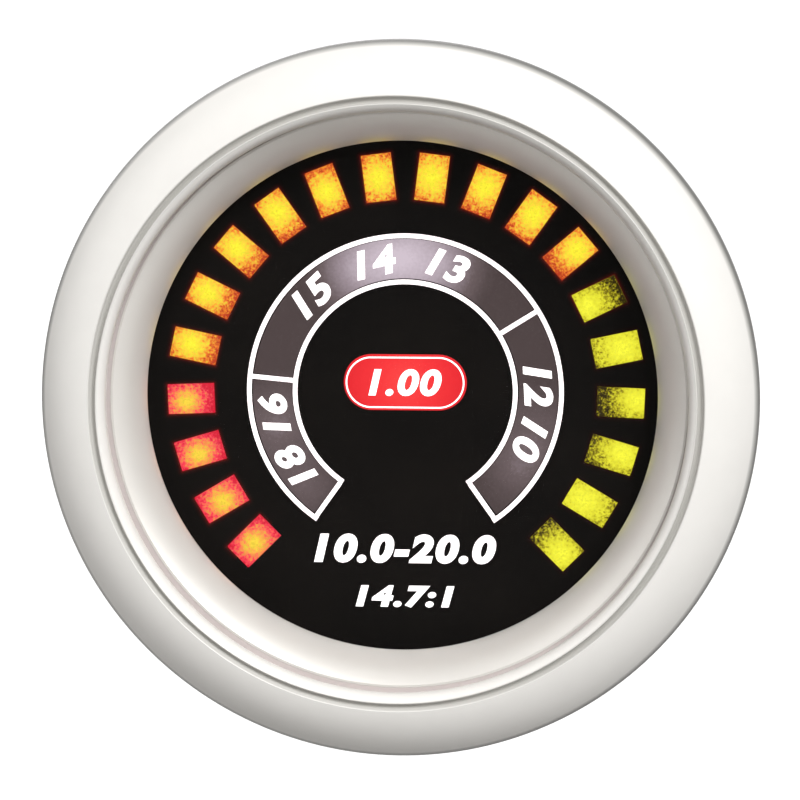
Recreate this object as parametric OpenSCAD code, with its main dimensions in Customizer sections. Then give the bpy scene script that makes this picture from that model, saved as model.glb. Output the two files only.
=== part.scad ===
// Round panel gauge with a lit dial of twenty windows, made to fit a hole in a dash panel.
// It faces -Y and its axis is Y. The origin lies on the axis, in the plane of the panel's front.
// Each piece is drawn with its depth along Z, then turned so that the depth runs along +Y.

/* [Bezel] */
// Outer diameter of the bezel
bezel_d = 60; // [59:0.5:66]
// Height of the bezel's crest above the panel
bezel_h = 5.5; // [5:0.1:8]
// Height of the sloping face's outer edge above the panel
rim_h = 2.6; // [2:0.1:3.6]
// Width of the rounding between the sloping face and the outer wall
rim_round = 0.5; // [0.2:0.1:1]
// Bevel round the rear of the bezel
rear_bevel = 0.4; // [0.1:0.1:0.8]
// How far the sloping face swells out of a straight cone
face_swell = 0.45; // [0.2:0.05:0.8]
// Width of the groove at the crest
groove_w = 0.5; // [0.3:0.05:0.8]
// Depth of the groove at the crest
groove_deep = 0.4; // [0.2:0.05:0.7]
// Width of the bead between the groove and the lens
bead_w = 0.78; // [0.6:0.02:1.1]
// How far the bead swells out of a straight cone
bead_swell = 0.2; // [0.1:0.02:0.3]
// Drop from the crest down to the edge of the lip
lip_drop = 1.2; // [0.9:0.1:1.6]
// Thickness of the lip in front of the lens
lip_t = 0.3; // [0.2:0.05:0.5]
// How far the lip reaches over the edge of the lens
lip_over = 0.45; // [0.3:0.05:0.7]
// Depth of the relief at the inner edge of the panel seat
seat_relief = 0.3; // [0.2:0.05:0.5]

/* [Lens and reflector] */
// Thickness of the lens
lens_t = 2; // [1.5:0.1:2.6]
// Thickness of the silicone ring behind the lens
gasket_t = 0.6; // [0.4:0.1:1]
// Width of the silicone ring
gasket_w = 0.5; // [0.3:0.05:0.6]
// Diameter of the opening through which the dial is seen
view_d = 43; // [42:0.2:44.6]
// Depth of the reflector's funnel
funnel_h = 3.4; // [2.8:0.1:4.4]
// How far the funnel swells out of a straight cone, towards the axis
funnel_swell = 0.35; // [0.1:0.05:0.5]
// Thickness of the reflector's inner edge
funnel_edge = 0.4; // [0.3:0.05:0.7]
// Wall of the reflector
reflector_wall = 0.9; // [0.7:0.05:1.2]
// Thickness of the flange round the reflector
reflector_flange = 0.8; // [0.6:0.1:1.2]

/* [Dial] */
// Distance from the reflector's inner edge back to the dial
dial_drop = 3.8; // [2.6:0.1:5]
// Thickness of the dial plate
dial_t = 0.8; // [0.6:0.1:1.2]
// Number of lit windows round the dial
bar_count = 20; // [16:1:22]
// Number of red windows at the start of the scale
red_count = 4; // [2:1:6]
// Number of amber windows after the red ones
amber_count = 10; // [6:1:12]
// Angle from the first window to the last
sweep = 270; // [240:1:280]
// Diameter of the circle through the windows' middles
bar_ring_d = 36.5; // [36:0.1:37]
// Length of a window along the radius
bar_l = 3.95; // [3.2:0.05:4.2]
// Width of a window
bar_w = 2.5; // [1.8:0.05:2.7]
// Outer diameter of the scale band
band_d = 26.9; // [25.6:0.1:27]
// Width of the scale band, its outline included
band_w = 4.3; // [3.6:0.1:4.6]
// Width of the white outline round the band
outline_w = 0.5; // [0.4:0.05:0.7]
// Angle from the band's left end to its right end
band_sweep = 291.4; // [280:0.2:296]
// Turn of the first divider past the middle between the red and the amber windows
divider_a = 0.66; // [-2:0.02:2]
// Turn of the second divider past the middle between the amber and the last windows
divider_b = 1.26; // [-2:0.02:2]
// Length of the badge window
badge_l = 10.4; // [8:0.2:11]
// Height of the badge window
badge_w = 4.7; // [3.6:0.1:5]
// Height of the badge's middle above the dial's centre
badge_up = 0.8; // [0:0.1:1.2]

/* [Light box] */
// Depth of the light box
box_h = 6.5; // [5:0.1:8]
// Width of the flange behind each window
flange_w = 0.35; // [0.25:0.05:0.4]
// Thickness of the flange behind each window
flange_t = 0.6; // [0.4:0.1:0.9]
// Half length of the chamber behind the lower lines
lines_half = 8.5; // [7:0.1:9]
// Distance from the dial's centre down to the chamber's upper wall
lines_top = 11.6; // [11.2:0.1:12.4]
// Height of the chamber behind the lower lines
lines_h = 8; // [7:0.1:8.6]
// Width of the key that lines up the dial and boards
key_w = 2; // [1.5:0.1:3]
// Height of the key
key_h = 1; // [0.7:0.1:1.2]

/* [Circuit boards] */
// Thickness of both circuit boards
board_t = 1.6; // [1.2:0.1:2]
// Distance between the two boards
board_gap = 9; // [8.4:0.1:12]
// Radius at which the spacers stand
spacer_ring = 14.8; // [14.7:0.05:14.9]
// Angle of each spacer above or below the horizontal
spacer_turn = 25; // [24:0.5:27]
// Width across the flats of a spacer
spacer_w = 4; // [3.4:0.1:4.4]
// Diameter of the spacer's threaded end
spacer_stud_d = 2; // [1.6:0.1:2.2]
// How far the threaded end goes into the light box
spacer_bite = 4; // [3:0.1:4.8]
// Pitch of the header pins
pin_pitch = 2; // [1.8:0.1:2.1]
// Number of pins in each header
header_pins_n = 10; // [6:1:10]
// Side of a header pin
pin_w = 0.5; // [0.4:0.05:0.6]
// Width of a header strip
strip_w = 2.2; // [1.8:0.1:2.4]
// Height of the strip on the driver board
strip_h = 2.5; // [2:0.1:3]
// Distance of each header from the board's centre line
header_y = 15.8; // [15.2:0.1:16.4]

/* [Components] */
// Length of a driver chip
chip_l = 22.9; // [22:0.1:23.4]
// Width of a driver chip
chip_w = 6.3; // [5.8:0.1:6.6]
// Thickness of a driver chip
chip_h = 3.3; // [2.8:0.1:3.6]
// Distance of each driver chip from the board's middle
chip_x = 5.4; // [5.2:0.1:5.7]
// Pitch of the chip's legs
leg_pitch = 2.54; // [2.3:0.01:2.54]
// Number of legs on each side of a chip
legs_n = 9; // [6:1:9]
// Height of a leg's shoulder above the board
leg_rise = 0.6; // [0.4:0.1:0.8]
// Diameter of the large capacitor
cap_d = 6.3; // [5:0.1:6.6]
// Height of the large capacitor
cap_h = 7.4; // [6:0.1:7.8]
// Diameter of each small capacitor
small_cap_d = 4; // [3.4:0.1:4.2]
// Height of each small capacitor
small_cap_h = 5.4; // [4.4:0.1:6.4]
// Length of a lamp's case
led_l = 2.8; // [2.2:0.1:3]
// Width of a lamp's case
led_w = 1.6; // [1.2:0.1:1.7]
// Height of a lamp's case
led_h = 1.1; // [0.8:0.1:1.5]

/* [Housing] */
// Diameter of the collar that fills the panel's hole
collar_d = 52; // [51:0.1:52.6]
// Length of the collar behind the panel's front
collar_l = 8; // [6:0.5:9]
// Diameter of the housing behind the collar
can_d = 51; // [50.6:0.1:51.2]
// Inner diameter of the housing
can_in_d = 49.4; // [48.6:0.1:49.4]
// Length of the neck that the bezel fits on
neck_l = 1.4; // [1.2:0.1:1.8]
// How far the neck is set in below the collar
neck_step = 0.35; // [0.3:0.01:0.45]
// How far the snap bead stands out of the neck
snap_h = 0.65; // [0.6:0.05:0.8]
// Width of the ledges inside the housing
ledge_w = 1.3; // [0.9:0.1:1.4]
// Thickness of the ledges inside the housing
ledge_t = 1.2; // [0.8:0.1:1.6]
// Space behind the driver board
rear_room = 4.3; // [4:0.1:6]
// Bevel round the rear of the housing
can_bevel = 0.5; // [0.2:0.1:0.7]

/* [Rear cover] */
// Thickness of the rear cover
cover_t = 2; // [1.6:0.1:3]
// Radius at which the cover's screws stand
screw_ring = 22.3; // [22.1:0.1:22.3]
// Diameter of the cover's screws
screw_d = 2.4; // [2:0.1:2.6]
// Diameter of the screws' heads
head_d = 4.4; // [3.8:0.1:4.4]
// Height of the screws' heads
head_h = 1.4; // [1:0.1:1.8]
// Diameter of the screw bosses in the housing
boss_d = 5.2; // [4.9:0.1:5.4]
// Length of the screw bosses in the housing
boss_l = 3.8; // [3:0.1:3.9]

/* [Clamp] */
// Distance of each stud from the axis
stud_x = 16; // [15:0.1:17]
// Diameter of the studs
stud_d = 4; // [3.5:0.1:4.5]
// Width across the corners of a stud's head
stud_head_d = 7.6; // [6.4:0.1:8]
// Height of a stud's head
stud_head_h = 2.4; // [1.8:0.1:2.6]
// Height of the pad round each stud
pad_h = 0.5; // [0.3:0.1:1]
// Space between the panel's front and the clamp's feet as stored
panel_room = 6; // [5:0.1:6]
// How far the clamp closes from the stored place
clamp_close = 5; // [4:0.1:5]
// How far the clamp opens from the stored place
clamp_open = 4.5; // [3:0.1:5]
// Thickness of the clamp's steel strip
strap_t = 1.2; // [1:0.1:1.4]
// Width of the clamp's steel strip
strap_w = 12; // [10:0.5:13]
// Gap between the collar and the clamp's legs
leg_gap = 0.9; // [0.85:0.05:1.2]
// Inner radius of the clamp's bends
bend_r = 1.6; // [1:0.1:2.4]
// Diameter of the hole in the middle of the clamp
strap_hole_d = 7; // [4:0.5:8]
// Diameter of the washers
washer_d = 9; // [8:0.1:10]
// Thickness of the washers
washer_t = 0.8; // [0.5:0.1:1.2]
// Diameter of the knurled nuts
nut_d = 10; // [8.5:0.1:11]
// Height of the knurled nuts
nut_h = 6; // [5:0.1:7]
// Number of grooves round a nut
knurl_count = 24; // [16:1:30]
// Depth of the grooves round a nut
knurl_deep = 0.4; // [0.2:0.05:0.5]

/* [Socket] */
// Distance of the socket below the axis
socket_y = 14; // [13.5:0.1:14.4]
// Outer length of the socket
socket_l = 14; // [13:0.1:15]
// Outer width of the socket
socket_w = 8.6; // [8:0.1:9]
// Wall of the socket
socket_wall = 1.2; // [0.9:0.1:1.3]
// Height of the socket behind the cover
socket_h = 9; // [8.6:0.1:11]
// Thickness of the socket's floor
socket_floor = 1.4; // [1.2:0.1:1.6]
// Number of contacts in the socket
contact_n = 4; // [2:1:4]
// Pitch of the contacts
contact_pitch = 2.54; // [2.3:0.01:2.54]
// Side of a contact
contact_w = 0.64; // [0.5:0.02:0.8]
// Height of the contacts above the socket's floor
contact_h = 2.8; // [2.4:0.1:3]

/* [Hidden] */
// Clearance of pieces that are pushed together
fit = 0.1;
// Clearance of a window in its cut-out
window_fit = 0.05;
// Clearance of a bolt or stud in its hole
hole_fit = 0.2;
// Clearance of the nut's thread on the stud
thread_fit = 0.05;
// How far a cut runs past the solid it cuts
over = 1;
// How far a piece that is joined to a wall is sunk into it
sink = 0.4;
// Faces that round pieces are drawn with
$fn = 96;
// Steps along a curved profile
profile_n = 12;
rim_n = 4;

// Radii of the housing and of all that is stacked in it
collar_r = collar_d / 2;
can_r = can_d / 2;
can_in_r = can_in_d / 2;
neck_r = collar_r - neck_step;
snap_r = neck_r + snap_h;
stack_r = can_in_r - fit;
driver_r = can_in_r - ledge_w - hole_fit;

// Radii of the bezel
bezel_r = bezel_d / 2;
lens_r = stack_r;
bore_r = lens_r + window_fit;
lip_r = lens_r - lip_over;
groove_in = lip_r + bead_w;
groove_out = groove_in + groove_w;
groove_mid = (groove_in + groove_out) / 2;
seat_in_r = collar_r + fit;
view_r = view_d / 2;
funnel_r = lip_r - groove_w / 2;
gasket_in_r = lens_r - gasket_w;

// Depths of the stack, from the bezel's crest to the rear of the clamp
z_crest = -bezel_h;
z_lip = z_crest + lip_drop;
z_lens = z_lip + lip_t;
z_lens_back = z_lens + lens_t;
z_flange = z_lens_back + gasket_t;
z_view = z_lens_back + funnel_h;
z_dial = z_view + dial_drop;
z_box = z_dial + dial_t;
z_board = z_box + box_h;
z_board_back = z_board + board_t;
z_driver = z_board_back + board_gap;
z_driver_back = z_driver + board_t;
z_cover = z_driver_back + rear_room;
z_rear = z_cover + cover_t;
z_pad = z_rear + pad_h;
z_strap = z_pad + pad_h + clamp_close;
z_strap_back = z_strap + strap_t;
z_nut = z_strap_back + washer_t;
z_stud_end = z_nut + nut_h + clamp_open + strap_t;
z_socket_floor = z_rear + socket_floor;
z_socket_end = z_rear + socket_h;

// Scale: places round the dial, measured clockwise from the right as seen from the front
bar_step = sweep / (bar_count - 1);
bar_first = 270 - sweep / 2;
bar_ring = bar_ring_d / 2;
band_r = band_d / 2;
band_in_r = band_r - band_w;
band_mid = (band_r + band_in_r) / 2;
band_first = 270 - band_sweep / 2;
outline_a = outline_w / band_mid * 180 / PI;
divider_1 = bar_first + (red_count - 0.5) * bar_step + divider_a;
divider_2 = bar_first + (red_count + amber_count - 0.5) * bar_step + divider_b;
zone_from = [band_first + outline_a, divider_1 + outline_a / 2, divider_2 + outline_a / 2];
zone_to = [divider_1 - outline_a / 2, divider_2 - outline_a / 2, band_first + band_sweep - outline_a];
zone_lamps = [2, 4, 2];

// Small features of pieces, as sizes of their own
led_cup_d = 1.1;
led_cup_deep = 0.5;
leg_w = 0.5;
leg_t = 0.3;
leg_reach = 0.6;
chip_notch_d = 1.6;
chip_notch_deep = 0.4;
cap_bead = 0.2;
cap_foot_t = 0.5;
small_cap_x = 15.6;
small_cap_y = 11.5;
cap_x = 18.6;
reg_x = -17.6;
reg_l = 6.2;
reg_w = 5.6;
reg_h = 2.3;
reg_tab_t = 0.6;
reg_tab_l = 1.2;
diode_d = 2.6;
diode_l = 5;
diode_wire_d = 0.7;
diode_wire_l = 1;
resistor_l = 2;
resistor_w = 1.25;
resistor_h = 0.6;
resistor_end = 0.4;
resistor_step = 4;
resistor_row = -3;
resistor_rows = 2;
resistor_cols = 5;
cross_w = 0.7;
cross_deep = 0.7;
cross_share = 0.62;
resistor_share = 0.85;
bite_share = 0.9;
land_share = 0.1;
snap_shares = [0.8, 0.75, 0.65, 0.5, 0.4];
pad_d = 10;
collar_on_nut_h = 1;
collar_on_nut_d = 8;
socket_key_w = 2.4;
socket_key_deep = 2;
foot_l = socket_l - socket_wall * 2;
foot_w = socket_w - socket_wall * 2;
stud_bevel = 0.5;
strap_corner = 1;
lens_bevel = 0.2;
spacer_angles = [spacer_turn, 180 - spacer_turn, 180 + spacer_turn, 360 - spacer_turn];

// Turns the depth from Z to +Y, with X to the right and Y down as seen from the front
module seat() {
    rotate([-90, 0, 0]) children();
}

// Points of an arc from p to q that swells to the left of the way by h
function bow(p, q, h, n) =
    let (c = norm(q - p), u = (q - p) / c, v = [-u[1], u[0]], r = (c * c / 4 + h * h) / (2 * h))
    let (m = (p + q) / 2 + v * (h - r), w = 2 * atan(2 * h / c))
    [for (k = [0:n]) m + r * (v * cos(w * (2 * k / n - 1)) + u * sin(w * (2 * k / n - 1)))];

// A disc of the stack, with the notch for the housing's key
module stack_disc(r, z, t) {
    difference() {
        translate([0, 0, z]) cylinder(r = r, h = t);
        translate([0, -r, z + t / 2]) cube([key_w + fit * 2, key_h * 2, t + over * 2], center = true);
    }
}

// Puts its children at one window's place
module at_bar(i) {
    rotate([0, 0, bar_first + i * bar_step]) translate([bar_ring, 0, 0]) children();
}

// A block round the depth axis, from depth z
module block(l, w, z, h) {
    translate([-l / 2, -w / 2, z]) cube([l, w, h]);
}

// A stadium-shaped block, from depth z
module stadium(l, w, z, h) {
    block(l - w, w, z, h);
    for (s = [-1, 1]) translate([s * (l - w) / 2, 0, z]) cylinder(d = w, h = h, $fn = 48);
}

// A sector of a ring, from depth z
module sector(r_in, r_out, a, b, z, h) {
    rotate([0, 0, a]) rotate_extrude(angle = b - a)
        translate([r_in, z]) square([r_out - r_in, h]);
}

// A round-headed screw with a cross, its head on depth z and its shank running to the front
module cross_screw(z, shank_d, shank_l) {
    difference() {
        union() {
            translate([0, 0, z - shank_l]) cylinder(d = shank_d, h = shank_l, $fn = 32);
            translate([0, 0, z]) rotate_extrude($fn = 48)
                polygon([[0, 0], [head_d / 2, 0], [head_d / 2, head_h / 2], [head_d / 2 - head_h / 2, head_h],
                    [0, head_h]]);
        }
        for (a = [0, 90]) rotate([0, 0, a])
            block(head_d * cross_share, cross_w, z + head_h - cross_deep, cross_deep + over);
    }
}

// Rounding from the bezel's outer wall to where its face starts, in line with both
function rim_curve(face, n) =
    let (slope = (face[0] - face[1]) / norm(face[0] - face[1]))
    let (corner = face[0] + slope * (bezel_r - face[0][0]) / slope[0])
    let (foot = [bezel_r, min(corner[1] + norm(corner - face[0]), -rear_bevel - rim_round * land_share)])
    [for (k = [0:n - 1]) let (t = k / n)
        foot * pow(1 - t, 2) + corner * 2 * t * (1 - t) + face[0] * pow(t, 2)];

// Bezel: one turned ring
module front_bezel() {
    face = bow([bezel_r - rim_round, -rim_h], [groove_out, z_crest], face_swell, profile_n);
    color("silver") seat() rotate_extrude() polygon(concat(
        [[seat_in_r, 0], [bezel_r - rear_bevel, 0], [bezel_r, -rear_bevel]],
        rim_curve(face, rim_n),
        face,
        [[groove_mid, z_crest + groove_deep]],
        bow([groove_in, z_crest], [lip_r, z_lip], bead_swell, profile_n / 2),
        [[lip_r, z_lens], [bore_r, z_lens], [bore_r, -neck_l], [neck_r + window_fit, -neck_l]],
        [[neck_r + window_fit, -neck_l * snap_shares[0]], [snap_r + window_fit, -neck_l * snap_shares[0]]],
        [[snap_r + window_fit, -neck_l * snap_shares[4]], [neck_r + window_fit, -neck_l * snap_shares[4]]],
        [[neck_r + window_fit, -seat_relief], [seat_in_r, -seat_relief]]));
}

// Clear lens with a bevelled edge
module front_lens() {
    color([0.85, 0.9, 0.92, 0.35]) seat() rotate_extrude() polygon([
        [0, z_lens], [lens_r - lens_bevel, z_lens], [lens_r, z_lens + lens_bevel],
        [lens_r, z_lens_back - lens_bevel], [lens_r - lens_bevel, z_lens_back], [0, z_lens_back]]);
}

// Silicone ring that presses the lens against the bezel's lip
module lens_gasket() {
    color([0.7, 0.67, 0.66]) seat() translate([0, 0, z_lens_back]) difference() {
        cylinder(r = lens_r, h = gasket_t);
        translate([0, 0, -over]) cylinder(r = gasket_in_r, h = gasket_t + over * 2);
    }
}

// Funnel-shaped ring between the lens and the dial
module reflector_ring() {
    skirt_in = funnel_r - reflector_wall;
    skirt_out = funnel_r;
    color("gainsboro") seat() rotate_extrude() polygon(concat(
        [[gasket_in_r - window_fit, z_lens_back]],
        bow([funnel_r, z_lens_back], [view_r, z_view], funnel_swell, profile_n),
        [[view_r, z_view + funnel_edge], [view_r + funnel_edge, z_view + funnel_edge]],
        [[skirt_in, z_view + reflector_wall * 1.5], [skirt_in, z_dial], [skirt_out, z_dial]],
        [[skirt_out, z_flange + reflector_flange * 2], [stack_r, z_flange + reflector_flange]],
        [[stack_r, z_flange], [gasket_in_r - window_fit, z_flange]]));
}

// Black dial plate with a cut-out for every lit area
module dial_plate() {
    color([0.07, 0.06, 0.06]) seat() difference() {
        stack_disc(stack_r, z_dial, dial_t);
        for (i = [0:bar_count - 1]) at_bar(i)
            block(bar_l + window_fit * 2, bar_w + window_fit * 2, z_dial - over, dial_t + over * 2);
        for (k = [0:2]) zone(k, -window_fit, z_dial - over, dial_t + over * 2);
        translate([0, -badge_up, 0])
            stadium(badge_l + window_fit * 2, badge_w + window_fit * 2, z_dial - over, dial_t + over * 2);
    }
}

// One zone of the scale band, drawn in by inset on every side
module zone(k, inset, z, h) {
    turn = inset / band_mid * 180 / PI;
    sector(band_in_r + outline_w + inset, band_r - outline_w - inset,
        zone_from[k] + turn, zone_to[k] - turn, z, h);
}

// Frosted windows, each a plug in the dial's cut-out on a flange in the light box
module windows(from, to) {
    for (i = [from:to]) at_bar(i) {
        block(bar_l, bar_w, z_dial, dial_t);
        block(bar_l + flange_w * 2, bar_w + flange_w * 2, z_box, flange_t);
    }
}
module red_windows() {
    color([0.9, 0.15, 0.2]) seat() windows(0, red_count - 1);
}
module amber_windows() {
    color([1, 0.6, 0.1]) seat() windows(red_count, red_count + amber_count - 1);
}
module green_windows() {
    color([0.85, 0.9, 0.1]) seat() windows(red_count + amber_count, bar_count - 1);
}

// Three translucent sectors of the scale band
module band_windows() {
    color([0.5, 0.45, 0.5]) seat() for (k = [0:2]) {
        zone(k, 0, z_dial, dial_t + flange_t);
        zone(k, -flange_w / 2, z_box, flange_t);
    }
}

// Red window in the middle of the dial
module badge_window() {
    color([0.85, 0.1, 0.15]) seat() translate([0, -badge_up, 0]) {
        stadium(badge_l, badge_w, z_dial, dial_t);
        stadium(badge_l + flange_w * 2, badge_w + flange_w * 2, z_box, flange_t);
    }
}

// White moulded block with one cell behind each lit area, and a pocket for each window's flange
module light_box() {
    pocket = flange_w + window_fit;
    color("white") seat() difference() {
        stack_disc(stack_r, z_box, box_h);
        for (i = [0:bar_count - 1]) at_bar(i) {
            block(bar_l, bar_w, z_box - over, box_h + over * 2);
            block(bar_l + pocket * 2, bar_w + pocket * 2, z_box - over, flange_t + over);
        }
        for (k = [0:2]) {
            zone(k, 0, z_box - over, box_h + over * 2);
            zone(k, -flange_w / 2 - window_fit, z_box - over, flange_t + over);
        }
        translate([0, -badge_up, 0]) {
            stadium(badge_l, badge_w, z_box - over, box_h + over * 2);
            stadium(badge_l + pocket * 2, badge_w + pocket * 2, z_box - over, flange_t + over);
        }
        translate([0, lines_top + lines_h / 2, 0])
            block(lines_half * 2, lines_h, z_box + flange_t, box_h + over);
        at_spacers() translate([0, 0, z_board - spacer_bite - window_fit])
            cylinder(d = spacer_stud_d + window_fit * 2, h = spacer_bite + over, $fn = 32);
    }
}

// A lamp on the display board: a case with a round cup in its front
module lamp() {
    difference() {
        block(led_l, led_w, z_board - led_h, led_h);
        translate([0, 0, z_board - led_h - over]) cylinder(d = led_cup_d, h = over + led_cup_deep, $fn = 24);
    }
}
module bar_lamps(from, to) {
    for (i = [from:to]) at_bar(i) lamp();
}
module red_leds() {
    color([0.8, 0.2, 0.2]) seat() bar_lamps(0, red_count - 1);
}
module amber_leds() {
    color([0.9, 0.6, 0.2]) seat() bar_lamps(red_count, red_count + amber_count - 1);
}
module green_leds() {
    color([0.6, 0.8, 0.2]) seat() bar_lamps(red_count + amber_count, bar_count - 1);
}

// White lamps behind the band, the badge and the lower lines
module backlight_leds() {
    color([0.95, 0.95, 0.85]) seat() {
        for (k = [0:2]) for (j = [1:zone_lamps[k]])
            rotate([0, 0, zone_from[k] + (zone_to[k] - zone_from[k]) * (j - 0.5) / zone_lamps[k]])
                translate([band_mid, 0, 0]) rotate([0, 0, 90]) lamp();
        for (s = [-1, 1]) translate([s * badge_l / 5, -badge_up, 0]) rotate([0, 0, 90]) lamp();
        for (s = [-1, 0, 1]) translate([s * lines_half / 2, lines_top + lines_h / 2, 0]) lamp();
    }
}

// Puts its children at each spacer's place
module at_spacers() {
    for (a = spacer_angles) rotate([0, 0, a]) translate([spacer_ring, 0, 0]) children();
}

// Puts its children at each header pin's place
module at_header_pins() {
    for (s = [-1, 1]) for (i = [0:header_pins_n - 1])
        translate([(i - (header_pins_n - 1) / 2) * pin_pitch, s * header_y, 0]) children();
}

// Round board that carries the lamps
module display_board() {
    color("darkgreen") seat() difference() {
        stack_disc(stack_r, z_board, board_t);
        at_spacers() translate([0, 0, z_board - over])
            cylinder(d = spacer_stud_d + hole_fit * 2, h = board_t + over * 2, $fn = 32);
    }
}

// Round board that carries the drivers
module driver_board() {
    color("darkgreen") seat() difference() {
        translate([0, 0, z_driver]) cylinder(r = driver_r, h = board_t);
        at_spacers() translate([0, 0, z_driver - over])
            cylinder(d = screw_d + hole_fit * 2, h = board_t + over * 2, $fn = 32);
        at_header_pins() block(pin_w + fit, pin_w + fit, z_driver - over, board_t + over * 2);
        at_contacts() block(contact_w + fit, contact_w + fit, z_driver - over, board_t + over * 2);
    }
}

// Two driver chips with a notch at one end
module driver_chips() {
    z_chip = z_driver - leg_rise - chip_h;
    color([0.15, 0.15, 0.16]) seat() for (s = [-1, 1]) translate([s * chip_x, 0, 0]) difference() {
        block(chip_w, chip_l, z_chip, chip_h);
        translate([0, -chip_l / 2, z_chip - over])
            cylinder(d = chip_notch_d, h = chip_notch_deep + over, $fn = 24);
    }
}

// Legs of the chips: each comes out of the side and turns down to the board
module chip_pins() {
    z_leg = z_driver - leg_rise - chip_h / 2;
    color("silver") seat() for (s = [-1, 1]) for (t = [-1, 1]) for (i = [0:legs_n - 1])
        translate([s * chip_x + t * chip_w / 2, (i - (legs_n - 1) / 2) * leg_pitch, 0])
            mirror([t < 0 ? 1 : 0, 0, 0]) {
                translate([0, -leg_w / 2, z_leg]) cube([leg_reach, leg_w, leg_t]);
                translate([leg_reach - leg_t, -leg_w / 2, z_leg]) cube([leg_t, leg_w, z_driver - z_leg]);
            }
}

// A round capacitor standing on the board, its front face scored with a bead round it
module capacitor(d, h) {
    translate([0, 0, z_driver]) rotate_extrude($fn = 48) polygon([[0, 0], [d / 2, 0], [d / 2, -cap_foot_t],
        [d / 2 - cap_bead, -cap_foot_t - cap_bead], [d / 2 - cap_bead, -cap_foot_t - cap_bead * 2],
        [d / 2, -cap_foot_t - cap_bead * 3], [d / 2, -h + cap_bead], [d / 2 - cap_bead, -h], [0, -h]]);
}
module capacitors() {
    color("navy") seat() {
        translate([cap_x, 0, 0]) capacitor(cap_d, cap_h);
        for (s = [-1, 1]) translate([small_cap_x, s * small_cap_y, 0]) capacitor(small_cap_d, small_cap_h);
    }
}

// Regulator with its cooling tab, flat on the board
module voltage_regulator() {
    color([0.2, 0.2, 0.2]) seat() translate([reg_x, 0, 0]) {
        block(reg_w, reg_l, z_driver - reg_h, reg_h);
        translate([0, -(reg_l + reg_tab_l) / 2, 0]) block(reg_w, reg_tab_l, z_driver - reg_tab_t, reg_tab_t);
        for (s = [-1, 1]) translate([s * reg_w / 4, (reg_l + reg_tab_l) / 2, 0])
            block(reg_tab_t, reg_tab_l, z_driver - reg_tab_t, reg_tab_t);
    }
}

// Two diodes lying on the board, each with its wires
module input_diodes() {
    color([0.2, 0.2, 0.22]) seat() for (s = [-1, 1])
        translate([-small_cap_x, s * small_cap_y, z_driver - diode_d / 2])
            rotate([0, 0, s * (90 - spacer_turn)]) {
                rotate([0, 90, 0]) cylinder(d = diode_d, h = diode_l, center = true, $fn = 32);
                for (t = [-1, 1]) translate([t * (diode_l + diode_wire_l) / 2, 0, 0]) {
                    rotate([0, 90, 0]) cylinder(d = diode_wire_d, h = diode_wire_l, center = true, $fn = 24);
                    translate([t * diode_wire_l / 2, 0, 0])
                        cylinder(d = diode_wire_d, h = diode_d / 2, $fn = 24);
                }
            }
}

// Rows of small resistors behind the driver board, each with raised ends
module resistors() {
    color([0.25, 0.25, 0.3]) seat() for (j = [0:resistor_rows - 1]) for (i = [0:resistor_cols - 1])
        translate([(i - (resistor_cols - 1) / 2) * resistor_step, resistor_row - j * resistor_step, 0]) {
            block(resistor_l, resistor_w, z_driver_back, resistor_h * resistor_share);
            for (s = [-1, 1]) translate([s * (resistor_l - resistor_end) / 2, 0, 0])
                block(resistor_end, resistor_w, z_driver_back, resistor_h);
        }
}

// Strip of the header on the driver board, and its mating strip on the display board
module strip(z, h) {
    for (s = [-1, 1]) translate([0, s * header_y, 0]) block(header_pins_n * pin_pitch, strip_w, z, h);
}
module pin_header() {
    color([0.12, 0.12, 0.12]) seat() difference() {
        strip(z_driver - strip_h, strip_h);
        at_header_pins() block(pin_w, pin_w, z_driver - strip_h - over, strip_h + over * 2);
    }
}
module header_socket() {
    color([0.1, 0.1, 0.1]) seat() difference() {
        strip(z_board_back, board_gap - strip_h);
        at_header_pins() block(pin_w + fit, pin_w + fit, z_board_back + board_gap / 5, board_gap);
    }
}
module header_pins() {
    color("gold") seat() at_header_pins()
        block(pin_w, pin_w, z_board_back + board_gap / 4, board_gap * 3 / 4 + board_t + pin_w);
}

// Six-sided spacers whose threaded ends hold the display board to the light box
module board_spacers() {
    color("goldenrod") seat() at_spacers() difference() {
        union() {
            translate([0, 0, z_board_back]) cylinder(r = spacer_w / sqrt(3), h = board_gap, $fn = 6);
            translate([0, 0, z_board - spacer_bite])
                cylinder(d = spacer_stud_d, h = spacer_bite + board_t + sink, $fn = 32);
        }
        translate([0, 0, z_driver - board_gap / 2]) cylinder(d = screw_d, h = board_gap / 2 + over, $fn = 32);
    }
}

// Screws that hold the driver board to the spacers
module board_screws() {
    color("silver") seat() at_spacers()
        cross_screw(z_driver_back, screw_d - thread_fit * 2, board_t + board_gap / 3);
}

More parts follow.
